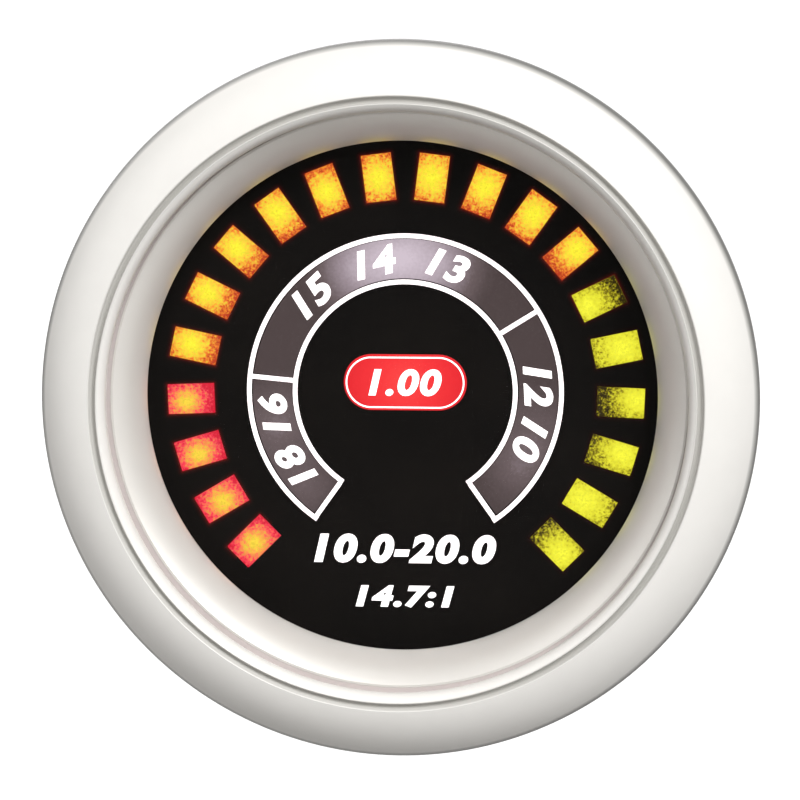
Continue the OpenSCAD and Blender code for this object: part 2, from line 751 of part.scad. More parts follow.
// Housing: a turned can with a key, ledges and screw bosses inside
module housing() {
    color([0.1, 0.1, 0.1]) seat() difference() {
        union() {
            rotate_extrude() polygon([
                [can_in_r, -neck_l], [neck_r, -neck_l], [neck_r, -neck_l * snap_shares[1]],
                [snap_r, -neck_l * snap_shares[2]], [snap_r, -neck_l * snap_shares[3]],
                [neck_r, -neck_l * snap_shares[4]], [neck_r, 0], [collar_r, 0], [collar_r, collar_l],
                [can_r, collar_l + neck_step], [can_r, z_rear - can_bevel], [can_r - can_bevel, z_rear],
                [can_in_r, z_rear], [can_in_r, z_cover], [can_in_r - ledge_w, z_cover],
                [can_in_r - ledge_w, z_cover - ledge_t], [can_in_r, z_cover - ledge_t],
                [can_in_r, z_board_back + ledge_t], [can_in_r - ledge_w, z_board_back + ledge_t],
                [can_in_r - ledge_w, z_board_back], [can_in_r, z_board_back]]);
            translate([-key_w / 2, -can_in_r - sink, z_dial])
                cube([key_w, key_h + sink - fit, z_board_back - z_dial + sink]);
            at_cover_screws() translate([0, 0, z_cover - boss_l]) cylinder(d = boss_d, h = boss_l, $fn = 32);
        }
        at_cover_screws() translate([0, 0, z_cover - boss_l - over])
            cylinder(d = screw_d, h = boss_l + over * 2, $fn = 32);
    }
}

// Puts its children at each of the cover's screws
module at_cover_screws() {
    for (k = [0:3]) rotate([0, 0, 45 + k * 90]) translate([screw_ring, 0, 0]) children();
}

// Rear cover with pads round the studs and an opening for the socket
module rear_cover() {
    color([0.13, 0.13, 0.13]) seat() difference() {
        union() {
            translate([0, 0, z_cover]) cylinder(r = stack_r, h = cover_t);
            for (s = [-1, 1]) translate([s * stud_x, 0, z_rear - sink])
                cylinder(d = pad_d, h = pad_h + sink, $fn = 48);
        }
        at_cover_screws() translate([0, 0, z_cover - over])
            cylinder(d = screw_d + hole_fit * 2, h = cover_t + over * 2, $fn = 32);
        for (s = [-1, 1]) translate([s * stud_x, 0, z_cover - over])
            cylinder(d = stud_d, h = cover_t + over * 3, $fn = 32);
        translate([0, socket_y, 0])
            block(foot_l + fit * 2, foot_w + fit * 2, z_cover - over, cover_t + over * 2);
    }
}
module cover_screws() {
    color("silver") seat() at_cover_screws()
        cross_screw(z_rear, screw_d - thread_fit * 2, cover_t + boss_l * bite_share);
}

// Two studs whose heads lie inside the cover
module mounting_studs() {
    color("silver") seat() for (s = [-1, 1]) translate([s * stud_x, 0, 0]) {
        translate([0, 0, z_cover - stud_head_h]) cylinder(d = stud_head_d, h = stud_head_h, $fn = 6);
        rotate_extrude($fn = 32) polygon([[0, z_cover - sink], [stud_d / 2, z_cover - sink],
            [stud_d / 2, z_stud_end - stud_bevel], [stud_d / 2 - stud_bevel, z_stud_end], [0, z_stud_end]]);
    }
}

// U-shaped strip that reaches forward past the housing on both sides
module clamp_bracket() {
    leg_in = collar_r + leg_gap;
    leg_out = leg_in + strap_t;
    color([0.6, 0.6, 0.62]) seat() difference() {
        translate([0, strap_w / 2, 0]) rotate([90, 0, 0]) linear_extrude(strap_w) difference() {
            strap_outline(leg_out, z_strap_back, bend_r + strap_t);
            strap_outline(leg_in, z_strap, bend_r);
        }
        for (s = [-1, 1]) {
            translate([s * stud_x, 0, z_strap - over])
                cylinder(d = stud_d + hole_fit * 2, h = strap_t + over * 2, $fn = 32);
            for (t = [-1, 1]) translate([s * (leg_out + leg_in) / 2, t * strap_w / 2, panel_room])
                rotate([45, 0, 0]) cube([strap_t + over * 2, strap_corner, strap_corner], center = true);
        }
        translate([0, 0, z_strap - over]) cylinder(d = strap_hole_d, h = strap_t + over * 2, $fn = 48);
    }
}

// Outline of the strip's outer or inner side: open at the feet, round at the rear corners
module strap_outline(x, z, r) {
    translate([-x, panel_room]) square([x * 2, z - r - panel_room]);
    translate([-x + r, z - r * 2]) square([(x - r) * 2, r * 2]);
    for (s = [-1, 1]) translate([s * (x - r), z - r]) circle(r = r, $fn = 48);
}

module washers() {
    color("silver") seat() for (s = [-1, 1]) translate([s * stud_x, 0, z_strap_back]) difference() {
        cylinder(d = washer_d, h = washer_t, $fn = 48);
        translate([0, 0, -over]) cylinder(d = stud_d + hole_fit * 2, h = washer_t + over * 2, $fn = 32);
    }
}

// Knurled nut with a plain collar next to the washer
module knurled_nut() {
    difference() {
        union() {
            translate([0, 0, z_nut]) cylinder(d = collar_on_nut_d, h = collar_on_nut_h + sink, $fn = 48);
            difference() {
                translate([0, 0, z_nut + collar_on_nut_h])
                    cylinder(d = nut_d, h = nut_h - collar_on_nut_h, $fn = 48);
                for (k = [0:knurl_count - 1]) rotate([0, 0, k * 360 / knurl_count])
                    translate([nut_d / 2, 0, z_nut + nut_h / 2]) rotate([0, 0, 45])
                        cube([knurl_deep * sqrt(2), knurl_deep * sqrt(2), nut_h + over * 2], center = true);
            }
        }
        translate([0, 0, z_nut - over]) cylinder(d = stud_d + thread_fit * 2, h = nut_h + over * 2, $fn = 32);
    }
}
module nut_left() {
    color("gold") seat() translate([-stud_x, 0, 0]) knurled_nut();
}
module nut_right() {
    color("gold") seat() translate([stud_x, 0, 0]) knurled_nut();
}

// Puts its children at each contact of the socket
module at_contacts() {
    for (i = [0:contact_n - 1])
        translate([(i - (contact_n - 1) / 2) * contact_pitch, socket_y, 0]) children();
}

// Socket with a keyed wall, its foot passing through the cover
module socket_shell() {
    color([0.9, 0.9, 0.85]) seat() difference() {
        translate([0, socket_y, 0]) {
            block(socket_l, socket_w, z_rear, socket_h);
            block(foot_l, foot_w, z_cover, cover_t + sink);
        }
        translate([0, socket_y, 0]) {
            block(foot_l, foot_w, z_socket_floor, socket_h);
            translate([0, socket_w / 2, 0])
                block(socket_key_w, socket_wall * 2 + fit, z_socket_end - socket_key_deep,
                    socket_key_deep + over);
        }
        at_contacts() block(contact_w, contact_w, z_cover - over, cover_t + socket_floor + over * 2);
    }
}
module socket_pins() {
    color("gold") seat() at_contacts()
        block(contact_w, contact_w, z_driver - contact_w, z_socket_floor + contact_h - z_driver + contact_w);
}

front_bezel();
front_lens();
lens_gasket();
reflector_ring();
dial_plate();
red_windows();
amber_windows();
green_windows();
band_windows();
badge_window();
light_box();
red_leds();
amber_leds();
green_leds();
backlight_leds();
display_board();
driver_board();
driver_chips();
chip_pins();
capacitors();
voltage_regulator();
input_diodes();
resistors();
pin_header();
header_socket();
header_pins();
board_spacers();
board_screws();
housing();
rear_cover();
cover_screws();
mounting_studs();
clamp_bracket();
washers();
nut_left();
nut_right();
socket_shell();
socket_pins();
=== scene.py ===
"""Looks of a round panel gauge with a lit dial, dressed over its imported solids.

Lengths are in millimetres in the dataclass fields and in metres in Blender. The gauge faces -Y, its
axis is Y, and depths are counted from the plane of the panel's front.
"""

import enum
import logging
import math
from dataclasses import dataclass, field
from typing import Iterable, Sequence

import bmesh
import bpy
from mathutils import Matrix, Vector


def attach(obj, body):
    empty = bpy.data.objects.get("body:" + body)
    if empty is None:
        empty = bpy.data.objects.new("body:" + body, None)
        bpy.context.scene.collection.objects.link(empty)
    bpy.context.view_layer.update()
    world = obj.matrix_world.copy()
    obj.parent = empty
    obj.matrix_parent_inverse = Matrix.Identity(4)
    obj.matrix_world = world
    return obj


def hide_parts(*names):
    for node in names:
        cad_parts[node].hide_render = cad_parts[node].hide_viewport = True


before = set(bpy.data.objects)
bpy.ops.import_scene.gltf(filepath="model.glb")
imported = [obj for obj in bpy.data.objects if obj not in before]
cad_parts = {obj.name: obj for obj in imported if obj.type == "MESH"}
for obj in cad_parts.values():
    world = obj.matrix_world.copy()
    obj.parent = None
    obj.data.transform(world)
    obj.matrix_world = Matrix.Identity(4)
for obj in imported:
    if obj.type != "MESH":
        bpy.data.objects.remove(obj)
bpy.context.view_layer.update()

MM = 0.001
ROOT_BODY = "gauge"
TURN_STEPS = 192
DIAL_DEPTH = 5.2
BADGE_UP = 0.8
PRINT_PROUD = 0.02
WELD = 1e-7
SOLID_WELD = 2e-6
FLAT_LIMIT = 0.6
log = logging.getLogger("gauge")

Point = tuple[float, float]
Rgb = tuple[float, float, float]
Mesh = bmesh.types.BMesh
Socket = bpy.types.NodeSocket


# Colours


def tint(red: float, green: float, blue: float) -> tuple[float, float, float, float]:
    """Turns a colour as it is seen, 0 to 255 a channel, into Blender's linear colour.

    Args:
        red: red channel.
        green: green channel.
        blue: blue channel.

    Returns:
        The linear colour with full alpha.
    """
    def linear(value: float) -> float:
        """One channel, from the seen value to the linear one."""
        share = value / 255
        return share / 12.92 if share <= 0.04045 else ((share + 0.055) / 1.055) ** 2.4

    return linear(red), linear(green), linear(blue), 1.0


# Shaders


class Shader:
    """A material's node tree, written node by node."""

    def __init__(self, name: str) -> None:
        """Starts a material with its Principled shader.

        Args:
            name: the material's name.
        """
        self.material = bpy.data.materials.new(name)
        self.material.use_nodes = True
        self.tree = self.material.node_tree
        self.surface = self.tree.nodes["Principled BSDF"]
        self.place = self.node("ShaderNodeTexCoord").outputs["Object"]

    def feed(self, socket: Socket, value: object) -> None:
        """Links a socket to another one, or sets its value.

        Args:
            socket: the socket that is fed.
            value: another socket, or a plain value.
        """
        if isinstance(value, Socket):
            self.tree.links.new(value, socket)
        else:
            socket.default_value = value

    def node(self, kind: str, inputs: dict | None = None, **settings: object) -> bpy.types.Node:
        """Adds a node.

        Args:
            kind: the node's type.
            inputs: what each input, by name or number, is linked or set to.
            settings: the node's own settings.

        Returns:
            The node.
        """
        made = self.tree.nodes.new(kind)
        for key, value in settings.items():
            setattr(made, key, value)
        for key, value in (inputs or {}).items():
            self.feed(made.inputs[key], value)
        return made

    def math(self, operation: str, *values: object) -> Socket:
        """The result of one Math node on up to three values."""
        return self.node("ShaderNodeMath", dict(enumerate(values)), operation=operation).outputs[0]

    def length(self, first: object, second: object) -> Socket:
        """The length of a flat vector, from its two parts."""
        return self.math("SQRT", self.math("ADD", self.math("MULTIPLY", first, first),
                                           self.math("MULTIPLY", second, second)))

    def swing(self, value: object, amount: float) -> Socket:
        """A pattern's value, made to swing to both sides of nought by so much in all."""
        return self.math("MULTIPLY", self.math("SUBTRACT", value, 0.5), amount)

    def away(self, place: Vector) -> Socket:
        """The distance from a place in the frame."""
        return self.node("ShaderNodeVectorMath", {0: self.place, 1: place},
                         operation="DISTANCE").outputs["Value"]

    def noise(self, size: float, detail: float = 2.0, vector: object = None, rough: float = 0.5) -> Socket:
        """Noise whose grains are about so many millimetres wide.

        Args:
            size: width of a grain in millimetres.
            detail: number of finer layers.
            vector: where the pattern is read, the object's own place by default.
            rough: how strong the finer layers are.

        Returns:
            The noise's value.
        """
        return self.node("ShaderNodeTexNoise", {
            "Vector": vector or self.place, "Scale": 1 / (size * MM), "Detail": detail,
            "Roughness": rough}).outputs["Fac"]

    def spread(self, value: object, low: float, high: float, to_low: float, to_high: float) -> Socket:
        """Maps a value from one range to another and keeps it there.

        Args:
            value: the value.
            low: start of the range that it is read in.
            high: end of that range.
            to_low: what the start becomes.
            to_high: what the end becomes.

        Returns:
            The mapped value.
        """
        return self.node("ShaderNodeMapRange", {
            "Value": value, "From Min": low, "From Max": high, "To Min": to_low,
            "To Max": to_high}).outputs["Result"]

    def vary(self, noise: object, low: float, high: float) -> Socket:
        """Noise, which keeps to the middle of its range, spread from one value to another."""
        return self.spread(noise, 0.3, 0.7, low, high)

    def ramp(self, value: object, stops: Sequence[tuple[float, tuple]]) -> Socket:
        """A colour read from stops along a value.

        Args:
            value: the value, 0 to 1.
            stops: places and their colours, in rising order.

        Returns:
            The colour.
        """
        made = self.node("ShaderNodeValToRGB", {"Fac": value})
        elements = made.color_ramp.elements
        while len(elements) < len(stops):
            elements.new(1.0)
        for element, (place, colour) in zip(elements, stops):
            element.position = place
            element.color = colour
        return made.outputs["Color"]

    def bump(self, height: object, deep: float, over: object = None) -> Socket:
        """Bends the surface's normal to a relief.

        Args:
            height: the relief, 0 to 1.
            deep: how deep it is, in mm.
            over: the normal that it is laid on, the surface's own by default.

        Returns:
            The bent normal.
        """
        inputs = {"Height": height, "Distance": deep * MM, "Strength": 1.0}
        if over is not None:
            inputs["Normal"] = over
        return self.node("ShaderNodeBump", inputs).outputs["Normal"]

    def dress(self, **inputs: object) -> None:
        """Sets the Principled shader's inputs, with underscores for the spaces in their names."""
        for key, value in inputs.items():
            self.feed(self.surface.inputs[key.replace("_", " ")], value)


class Wear(enum.Enum):
    """How a surface was finished, as the depth in mm and the size in mm of its relief."""

    POLISHED = (0.0004, 0.5)
    SATIN = (0.0012, 0.09)
    MOULDED = (0.006, 0.35)
    SPARK = (0.02, 0.22)
    STAMPED = (0.004, 0.6)


@dataclass(frozen=True)
class Finish:
    """A plain solid finish: colour with a slow drift, relief, and roughness that follows it."""

    name: str
    colour: Rgb
    rough: float = 0.4
    metal: float = 0.0
    wear: Wear = Wear.MOULDED
    drift: float = 0.08
    coat: float = 0.0
    specular: float = 0.5

    def shader(self) -> Shader:
        """Builds the material.

        Returns:
            The shader.
        """
        made = Shader(self.name)
        deep, size = self.wear.value
        slow = made.noise(size * 22, 3.0)
        fine = made.noise(size, 3.0)
        base = tint(*self.colour)
        shade = 1 - self.drift
        dark = (base[0] * shade, base[1] * shade, base[2] * shade, 1.0)
        made.dress(
            Base_Color=made.ramp(slow, [(0.3, dark), (0.7, base)]),
            Metallic=self.metal,
            Roughness=made.vary(fine, self.rough * 0.86, min(self.rough * 1.14, 1.0)),
            Normal=made.bump(fine, deep),
            Coat_Weight=self.coat,
            Coat_Roughness=0.08,
            Specular_IOR_Level=self.specular,
        )
        return made


@dataclass(frozen=True)
class PaintedShadeRing:
    """A ring of painted shade on a turned surface: its radii in mm, how softly it ends, its darker colour."""

    inner: float
    outer: float
    soft: float
    colour: Rgb


@dataclass(frozen=True)
class WindowRing:
    """Where the lit windows stand round the dial, and how large they are."""

    radius: float = 18.25
    first: float = 135.0
    step: float = 270 / 19
    count: int = 20
    length: float = 3.95
    width: float = 2.5


@dataclass(frozen=True)
class TurnedFinish(Finish):
    """Satin finish on a turned ring: fine rings round the gauge's axis, and rings of painted shade by radius.
    """

    ring: float = 0.12
    ring_deep: float = 0.0006
    painted_shade_rings: tuple[PaintedShadeRing, ...] = ()

    def shader(self) -> Shader:
        """Builds the material, with rings laid round the axis and rings of painted shade mixed into its
        colour.

        Returns:
            The shader.
        """
        made = super().shader()
        split = made.node("ShaderNodeSeparateXYZ", {0: made.place})
        around = made.length(split.outputs[0], split.outputs[2])
        line = made.node("ShaderNodeCombineXYZ", {0: around, 1: made.math("MULTIPLY", split.outputs[1], 0.7)})
        rings = made.noise(self.ring, 4.0, line.outputs[0], 0.7)
        relief = made.bump(rings, self.ring_deep, made.surface.inputs["Normal"].links[0].from_socket)
        colour = made.surface.inputs["Base Color"].links[0].from_socket
        # Mixes each ring of painted shade into the base colour, fading in and out over its soft edges.
        for shade_ring in self.painted_shade_rings:
            soft = shade_ring.soft * MM
            rise = made.spread(around, shade_ring.inner * MM - soft, shade_ring.inner * MM + soft, 0.0, 1.0)
            fall = made.spread(around, shade_ring.outer * MM - soft, shade_ring.outer * MM + soft, 1.0, 0.0)
            colour = made.node("ShaderNodeMixRGB", {
                0: made.math("MULTIPLY", rise, fall), 1: colour, 2: tint(*shade_ring.colour)}).outputs[0]
        made.dress(Normal=relief, Base_Color=colour)
        return made


@dataclass(frozen=True)
class ClearFinish:
    """Clear plastic: it shows what is behind it, and shines at a glancing angle."""

    name: str
    veil: float = 0.003
    edge_veil: float = 0.1

    def shader(self) -> Shader:
        """Builds the material.

        Returns:
            The shader.
        """
        made = Shader(self.name)
        facing = made.node("ShaderNodeLayerWeight", {"Blend": 0.25}).outputs["Facing"]
        haze = made.noise(9.0, 3.0)
        made.dress(
            Base_Color=made.ramp(haze, [(0.3, tint(100, 104, 106)), (0.7, tint(110, 113, 114))]),
            Roughness=made.vary(made.noise(2.5), 0.02, 0.05),
            Alpha=made.spread(facing, 0.0, 1.0, self.veil, self.edge_veil),
            Normal=made.bump(made.noise(14.0), 0.002),
            IOR=1.49,
        )
        return made


@dataclass(frozen=True)
class GlowFinish:
    """A frosted window lit from behind: a hot middle, a deeper edge and a grain of dark specks.

    The window's own UV map, called "window", runs 0 to 1 along and across it, and its attribute
    "lamp" holds the place of the hot spot, in the same units, and how far the window is starved.
    """

    name: str
    hot: Rgb
    warm: Rgb
    edge: Rgb
    starved: Rgb
    grain: float = 0.16
    reach: float = 1.0
    speck: float = 1.0
    strength: float = 1.0
    stops: tuple[float, float, float] = (0.16, 0.44, 0.72)
    flatten: float = 0.7
    calm: float = 0.42
    coarse: float = 2.3

    def shader(self) -> Shader:
        """Builds the material.

        Returns:
            The shader.
        """
        made = Shader(self.name)
        where = made.node("ShaderNodeUVMap", uv_map="window").outputs["UV"]
        lamp = made.node("ShaderNodeAttribute", attribute_name="lamp").outputs["Vector"]
        here, there = (made.node("ShaderNodeSeparateXYZ", {0: v}) for v in (where, lamp))
        along = made.math("SUBTRACT", here.outputs[0], there.outputs[0])
        across = made.math("MULTIPLY", made.math("SUBTRACT", here.outputs[1], there.outputs[1]), self.flatten)
        away = made.length(along, across)
        fine = made.noise(self.grain, 2.0, rough=0.6)
        coarse = made.noise(self.grain * self.coarse, 1.0)
        grain = made.math("ADD", made.swing(fine, self.speck), made.swing(coarse, self.speck * 0.5))
        need = made.math("MULTIPLY", there.outputs[2], self.reach)
        level = made.math("ADD", made.math("MULTIPLY", away, need),
                          made.math("MULTIPLY", grain, made.math("ADD", away, self.calm)))
        stops = zip((0.0, *self.stops, 1.0), (self.hot, self.hot, self.warm, self.edge, self.starved))
        colour = made.ramp(level, [(place, tint(*seen)) for place, seen in stops])
        bright = made.math("MULTIPLY", made.spread(fine, 0.36, 0.64, 0.88, 1.12), self.strength)
        made.dress(Base_Color=tint(22, 16, 12), Roughness=made.vary(fine, 0.45, 0.6),
                   Specular_IOR_Level=0.05, Normal=made.bump(fine, 0.01), Emission_Color=colour,
                   Emission_Strength=bright)
        return made


# Meshes


def to_frame(across: float, down: float, depth: float) -> Vector:
    """A point seen from the front, in mm to the right, down and deep, as a place in the frame."""
    return Vector((across, depth, -down)) * MM


def round_dial(radius: float, angle: float, depth: float) -> Vector:
    """A place at a radius and depth in mm, and an angle in degrees clockwise from the right."""
    spin = math.radians(angle)
    return to_frame(radius * math.cos(spin), radius * math.sin(spin), depth)


def bow(start: Point, end: Point, swell: float, count: int) -> list[Point]:
    """Points of an arc between two points.

    Args:
        start: first point.
        end: last point.
        swell: height of the arc, to the left of the way.
        count: number of steps.

    Returns:
        The points, both ends included.
    """
    a, b = Vector(start), Vector(end)
    chord = (b - a).length
    along = (b - a) / chord
    left = Vector((-along.y, along.x))
    radius = (chord * chord / 4 + swell * swell) / (2 * swell)
    middle = (a + b) / 2 + left * (swell - radius)
    half = 2 * math.atan(2 * swell / chord)
    points = []
    for step in range(count + 1):
        turn = half * (2 * step / count - 1)
        spot = middle + (left * math.cos(turn) + along * math.sin(turn)) * radius
        points.append((spot.x, spot.y))
    return points


def rounded(points: Sequence[Point], radii: dict[int, float], steps: int = 4) -> list[Point]:
    """Rounds corners of an outline.

    Args:
        points: the outline's corners.
        radii: the radius at each corner, by its number, that is rounded.
        steps: number of steps in each rounding.

    Returns:
        The outline with its roundings.
    """
    made: list[Point] = []
    for number, point in enumerate(points):
        radius = radii.get(number, 0.0)
        if radius <= 0:
            made.append(point)
            continue
        here = Vector(point)
        back = (Vector(points[number - 1]) - here).normalized()
        ahead = (Vector(points[(number + 1) % len(points)]) - here).normalized()
        half = back.angle(ahead) / 2
        reach = radius / math.tan(half)
        for step in range(steps + 1):
            share = step / steps
            first = here + back * reach * (1 - share)
            second = here + ahead * reach * share
            made.append(tuple(first.lerp(second, share)))
    return made


def swept(mesh: Mesh, shape: list, centre: Vector, angle: float, steps: int, rise: float = 0.0) -> Mesh:
    """Turns a shape round an axis along the depth, and closes what it sweeps.

    Args:
        mesh: the mesh that holds the shape.
        shape: its vertices, edges or faces.
        centre: a place on the axis.
        angle: how far it turns, in radians.
        steps: number of steps on the way.
        rise: how much deeper it goes at each step, in metres.

    Returns:
        The same mesh.
    """
    bmesh.ops.spin(mesh, geom=shape, cent=centre, axis=(0, 1, 0), angle=angle, steps=steps,
                   dvec=(0, rise, 0), use_merge=angle == math.tau, use_duplicate=False)
    bmesh.ops.remove_doubles(mesh, verts=mesh.verts, dist=WELD)
    bmesh.ops.recalc_face_normals(mesh, faces=mesh.faces)
    return mesh


def revolve(profile: Sequence[Point], steps: int = TURN_STEPS, axis_x: float = 0.0, closed: bool = True,
            ) -> Mesh:
    """Turns an outline of radii and depths round an axis along the depth.

    Args:
        profile: radius and depth of each point, in mm.
        steps: number of steps round the axis.
        axis_x: place of the axis to the right, in mm.
        closed: whether the last point joins the first.

    Returns:
        The closed mesh.
    """
    mesh = bmesh.new()
    spots = [mesh.verts.new(to_frame(axis_x + radius, 0, depth)) for radius, depth in profile]
    edges = [mesh.edges.new(pair) for pair in zip(spots, spots[1:])]
    if closed:
        edges.append(mesh.edges.new((spots[-1], spots[0])))
    return swept(mesh, spots + edges, to_frame(axis_x, 0, 0), math.tau, steps)


def linked(name: str, data: bpy.types.ID) -> bpy.types.Object:
    """Makes an object of its data and puts it in the scene.

    Args:
        name: the object's name.
        data: its mesh, curve, light or camera.

    Returns:
        The object.
    """
    made = bpy.data.objects.new(name, data)
    bpy.context.scene.collection.objects.link(made)
    return made


def finished(name: str, mesh: Mesh, finish: bpy.types.Material, sharp: float = 32.0) -> bpy.types.Object:
    """Makes an object of a mesh, smooth but for its sharp edges.

    Args:
        name: the piece's name.
        mesh: its mesh, in the frame's place.
        finish: its material.
        sharp: angle in degrees past which an edge stays sharp.

    Returns:
        The object.
    """
    data = bpy.data.meshes.new(name)
    mesh.to_mesh(data)
    mesh.free()
    for face in data.polygons:
        face.use_smooth = True
    data.set_sharp_from_angle(angle=math.radians(sharp))
    data.materials.append(finish)
    return linked(name, data)


def bevelled(mesh: Mesh, edges: list[bmesh.types.BMEdge], width: float, segments: int = 2) -> None:
    """Rounds edges of a mesh.

    Args:
        mesh: the mesh.
        edges: its edges that are rounded.
        width: width of the rounding, in mm.
        segments: segments of the rounding.
    """
    bmesh.ops.bevel(mesh, geom=edges, offset=width * MM, affect="EDGES", segments=segments, profile=0.5,
                    material=-1, clamp_overlap=True)


def block(size: Sequence[float], centre: Vector, turn: float = 0.0, bevel: float = 0.0) -> Mesh:
    """A block turned about the depth axis, with its edges rounded.

    Args:
        size: length across, height and depth, in mm.
        centre: its middle, in the frame.
        turn: turn clockwise as seen from the front, in degrees.
        bevel: width of its rounded edges, in mm.

    Returns:
        The mesh.
    """
    mesh = bmesh.new()
    bmesh.ops.create_cube(mesh, size=1.0)
    bmesh.ops.scale(mesh, vec=(size[0] * MM, size[2] * MM, size[1] * MM), verts=mesh.verts)
    if bevel > 0:
        bevelled(mesh, mesh.edges[:], bevel)
    bmesh.ops.rotate(mesh, cent=(0, 0, 0), matrix=Matrix.Rotation(math.radians(turn), 3, "Y"),
                     verts=mesh.verts)
    bmesh.ops.translate(mesh, vec=centre, verts=mesh.verts)
    return mesh


def joined(meshes: Iterable[Mesh]) -> Mesh:
    """Joins meshes into one and frees them.

    Args:
        meshes: the meshes.

    Returns:
        The whole.
    """
    whole = bmesh.new()
    for mesh in meshes:
        data = bpy.data.meshes.new("part")
        mesh.to_mesh(data)
        mesh.free()
        whole.from_mesh(data)
        bpy.data.meshes.remove(data)
    return whole


def softened(node: str, width: float, segments: int = 2, sharp: float = 30.0) -> Mesh:
    """A copy of a solid's mesh with its sharp edges rounded.

    Args:
        node: the solid's name.
        width: width of the rounding, in mm.
        segments: segments of the rounding.
        sharp: angle in degrees past which an edge is rounded.

    Returns:
        The mesh.
    """
    mesh = bmesh.new()
    mesh.from_mesh(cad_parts[node].data)
    bmesh.ops.remove_doubles(mesh, verts=mesh.verts, dist=SOLID_WELD)
    bmesh.ops.dissolve_limit(mesh, angle_limit=math.radians(FLAT_LIMIT), verts=mesh.verts, edges=mesh.edges,
                             delimit={"NORMAL"})
    limit = math.radians(sharp)
    edges = [e for e in mesh.edges if e.is_manifold and e.calc_face_angle(0) > limit]
    bevelled(mesh, edges, width, segments)
    bmesh.ops.triangulate(mesh, faces=[f for f in mesh.faces if len(f.verts) > 4])
    return mesh


def dressed_solid(name: str, node: str, width: float, finish: bpy.types.Material) -> bpy.types.Object:
    """Makes a softened copy of a solid, whose flat faces stay evenly shaded up to their roundings.

    Args:
        name: the piece's name.
        node: the solid's name.
        width: width of the rounding, in mm.
        finish: its material.

    Returns:
        The object.
    """
    made = finished(name, softened(node, width), finish)
    made.modifiers.new("even shading", "WEIGHTED_NORMAL").keep_sharp = True
    return made


def lettering(text: str, height: float, weight: float, slant: float, width: float = 1.0) -> Mesh:
    """Heavy slanted numerals, in the plane X right and Y up, centred on their middle.

    Args:
        text: the numerals.
        height: height of a numeral, in mm.
        weight: how far their strokes are thickened, as a share of the letter size.
        slant: how far they lean, as a share of their height.
        width: how far they are widened.

    Returns:
        The mesh, in metres, a little thick.
    """
    curve = bpy.data.curves.new("numerals", "FONT")
    curve.body = text
    curve.size = 1.0
    curve.shear = slant
    curve.offset = weight
    curve.space_character = 1.0 + weight * 3
    curve.extrude = 0.01
    curve.resolution_u = 6
    carrier = linked("numerals", curve)
    data = bpy.data.meshes.new_from_object(carrier.evaluated_get(bpy.context.evaluated_depsgraph_get()))
    bpy.data.objects.remove(carrier)
    bpy.data.curves.remove(curve)
    mesh = bmesh.new()
    mesh.from_mesh(data)
    bpy.data.meshes.remove(data)
    low = Vector(map(min, *(v.co for v in mesh.verts)))
    high = Vector(map(max, *(v.co for v in mesh.verts)))
    tall = height * MM / (high.y - low.y)
    bmesh.ops.translate(mesh, vec=-(low + high) / 2, verts=mesh.verts)
    bmesh.ops.scale(mesh, vec=(tall * width, tall, PRINT_PROUD * MM / (high.z - low.z)), verts=mesh.verts)
    bmesh.ops.remove_doubles(mesh, verts=mesh.verts, dist=WELD)
    return mesh


def on_dial(mesh: Mesh, angle: float, radius: float, depth: float) -> Mesh:
    """Sets flat numerals on the dial with their tops outward.

    Args:
        mesh: the numerals.
        angle: place round the dial, in degrees clockwise from the right.
        radius: distance from the dial's middle, in mm.
        depth: depth of their middle, in mm.

    Returns:
        The same mesh.
    """
    bmesh.ops.transform(mesh, matrix=Matrix.Rotation(math.pi / 2, 4, "X"), verts=mesh.verts)
    bmesh.ops.rotate(mesh, cent=(0, 0, 0), matrix=Matrix.Rotation(math.radians(angle + 90), 3, "Y"),
                     verts=mesh.verts)
    bmesh.ops.translate(mesh, vec=round_dial(radius, angle, depth), verts=mesh.verts)
    return mesh


# Sub-assemblies


class Assembly:
    """What every sub-assembly shares: it seats its pieces on their bodies and reports them."""

    body: str = ROOT_BODY

    def seat(self, piece: bpy.types.Object, slot: str, *nodes: str, body: str | None = None) -> None:
        """Hangs a piece on its body and hides the solids that it stands for.

        Args:
            piece: the piece.
            slot: the record's material slot for its finish; not used.
            nodes: the solids that it stands for.
            body: the body that it moves with, the assembly's own by default.
        """
        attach(piece, body or self.body)
        if nodes:
            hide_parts(*nodes)
        log.info("%s: %d faces on %s", piece.name, len(piece.data.polygons), body or self.body)

    def paint(self, node: str, finish: bpy.types.Material) -> None:
        """Gives a solid that stays its finish.

        Args:
            node: the solid's name.
            finish: its material.
        """
        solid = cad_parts[node]
        solid.data.materials.clear()
        solid.data.materials.append(finish)
        log.info("%s: finished as %s", node, finish.name)


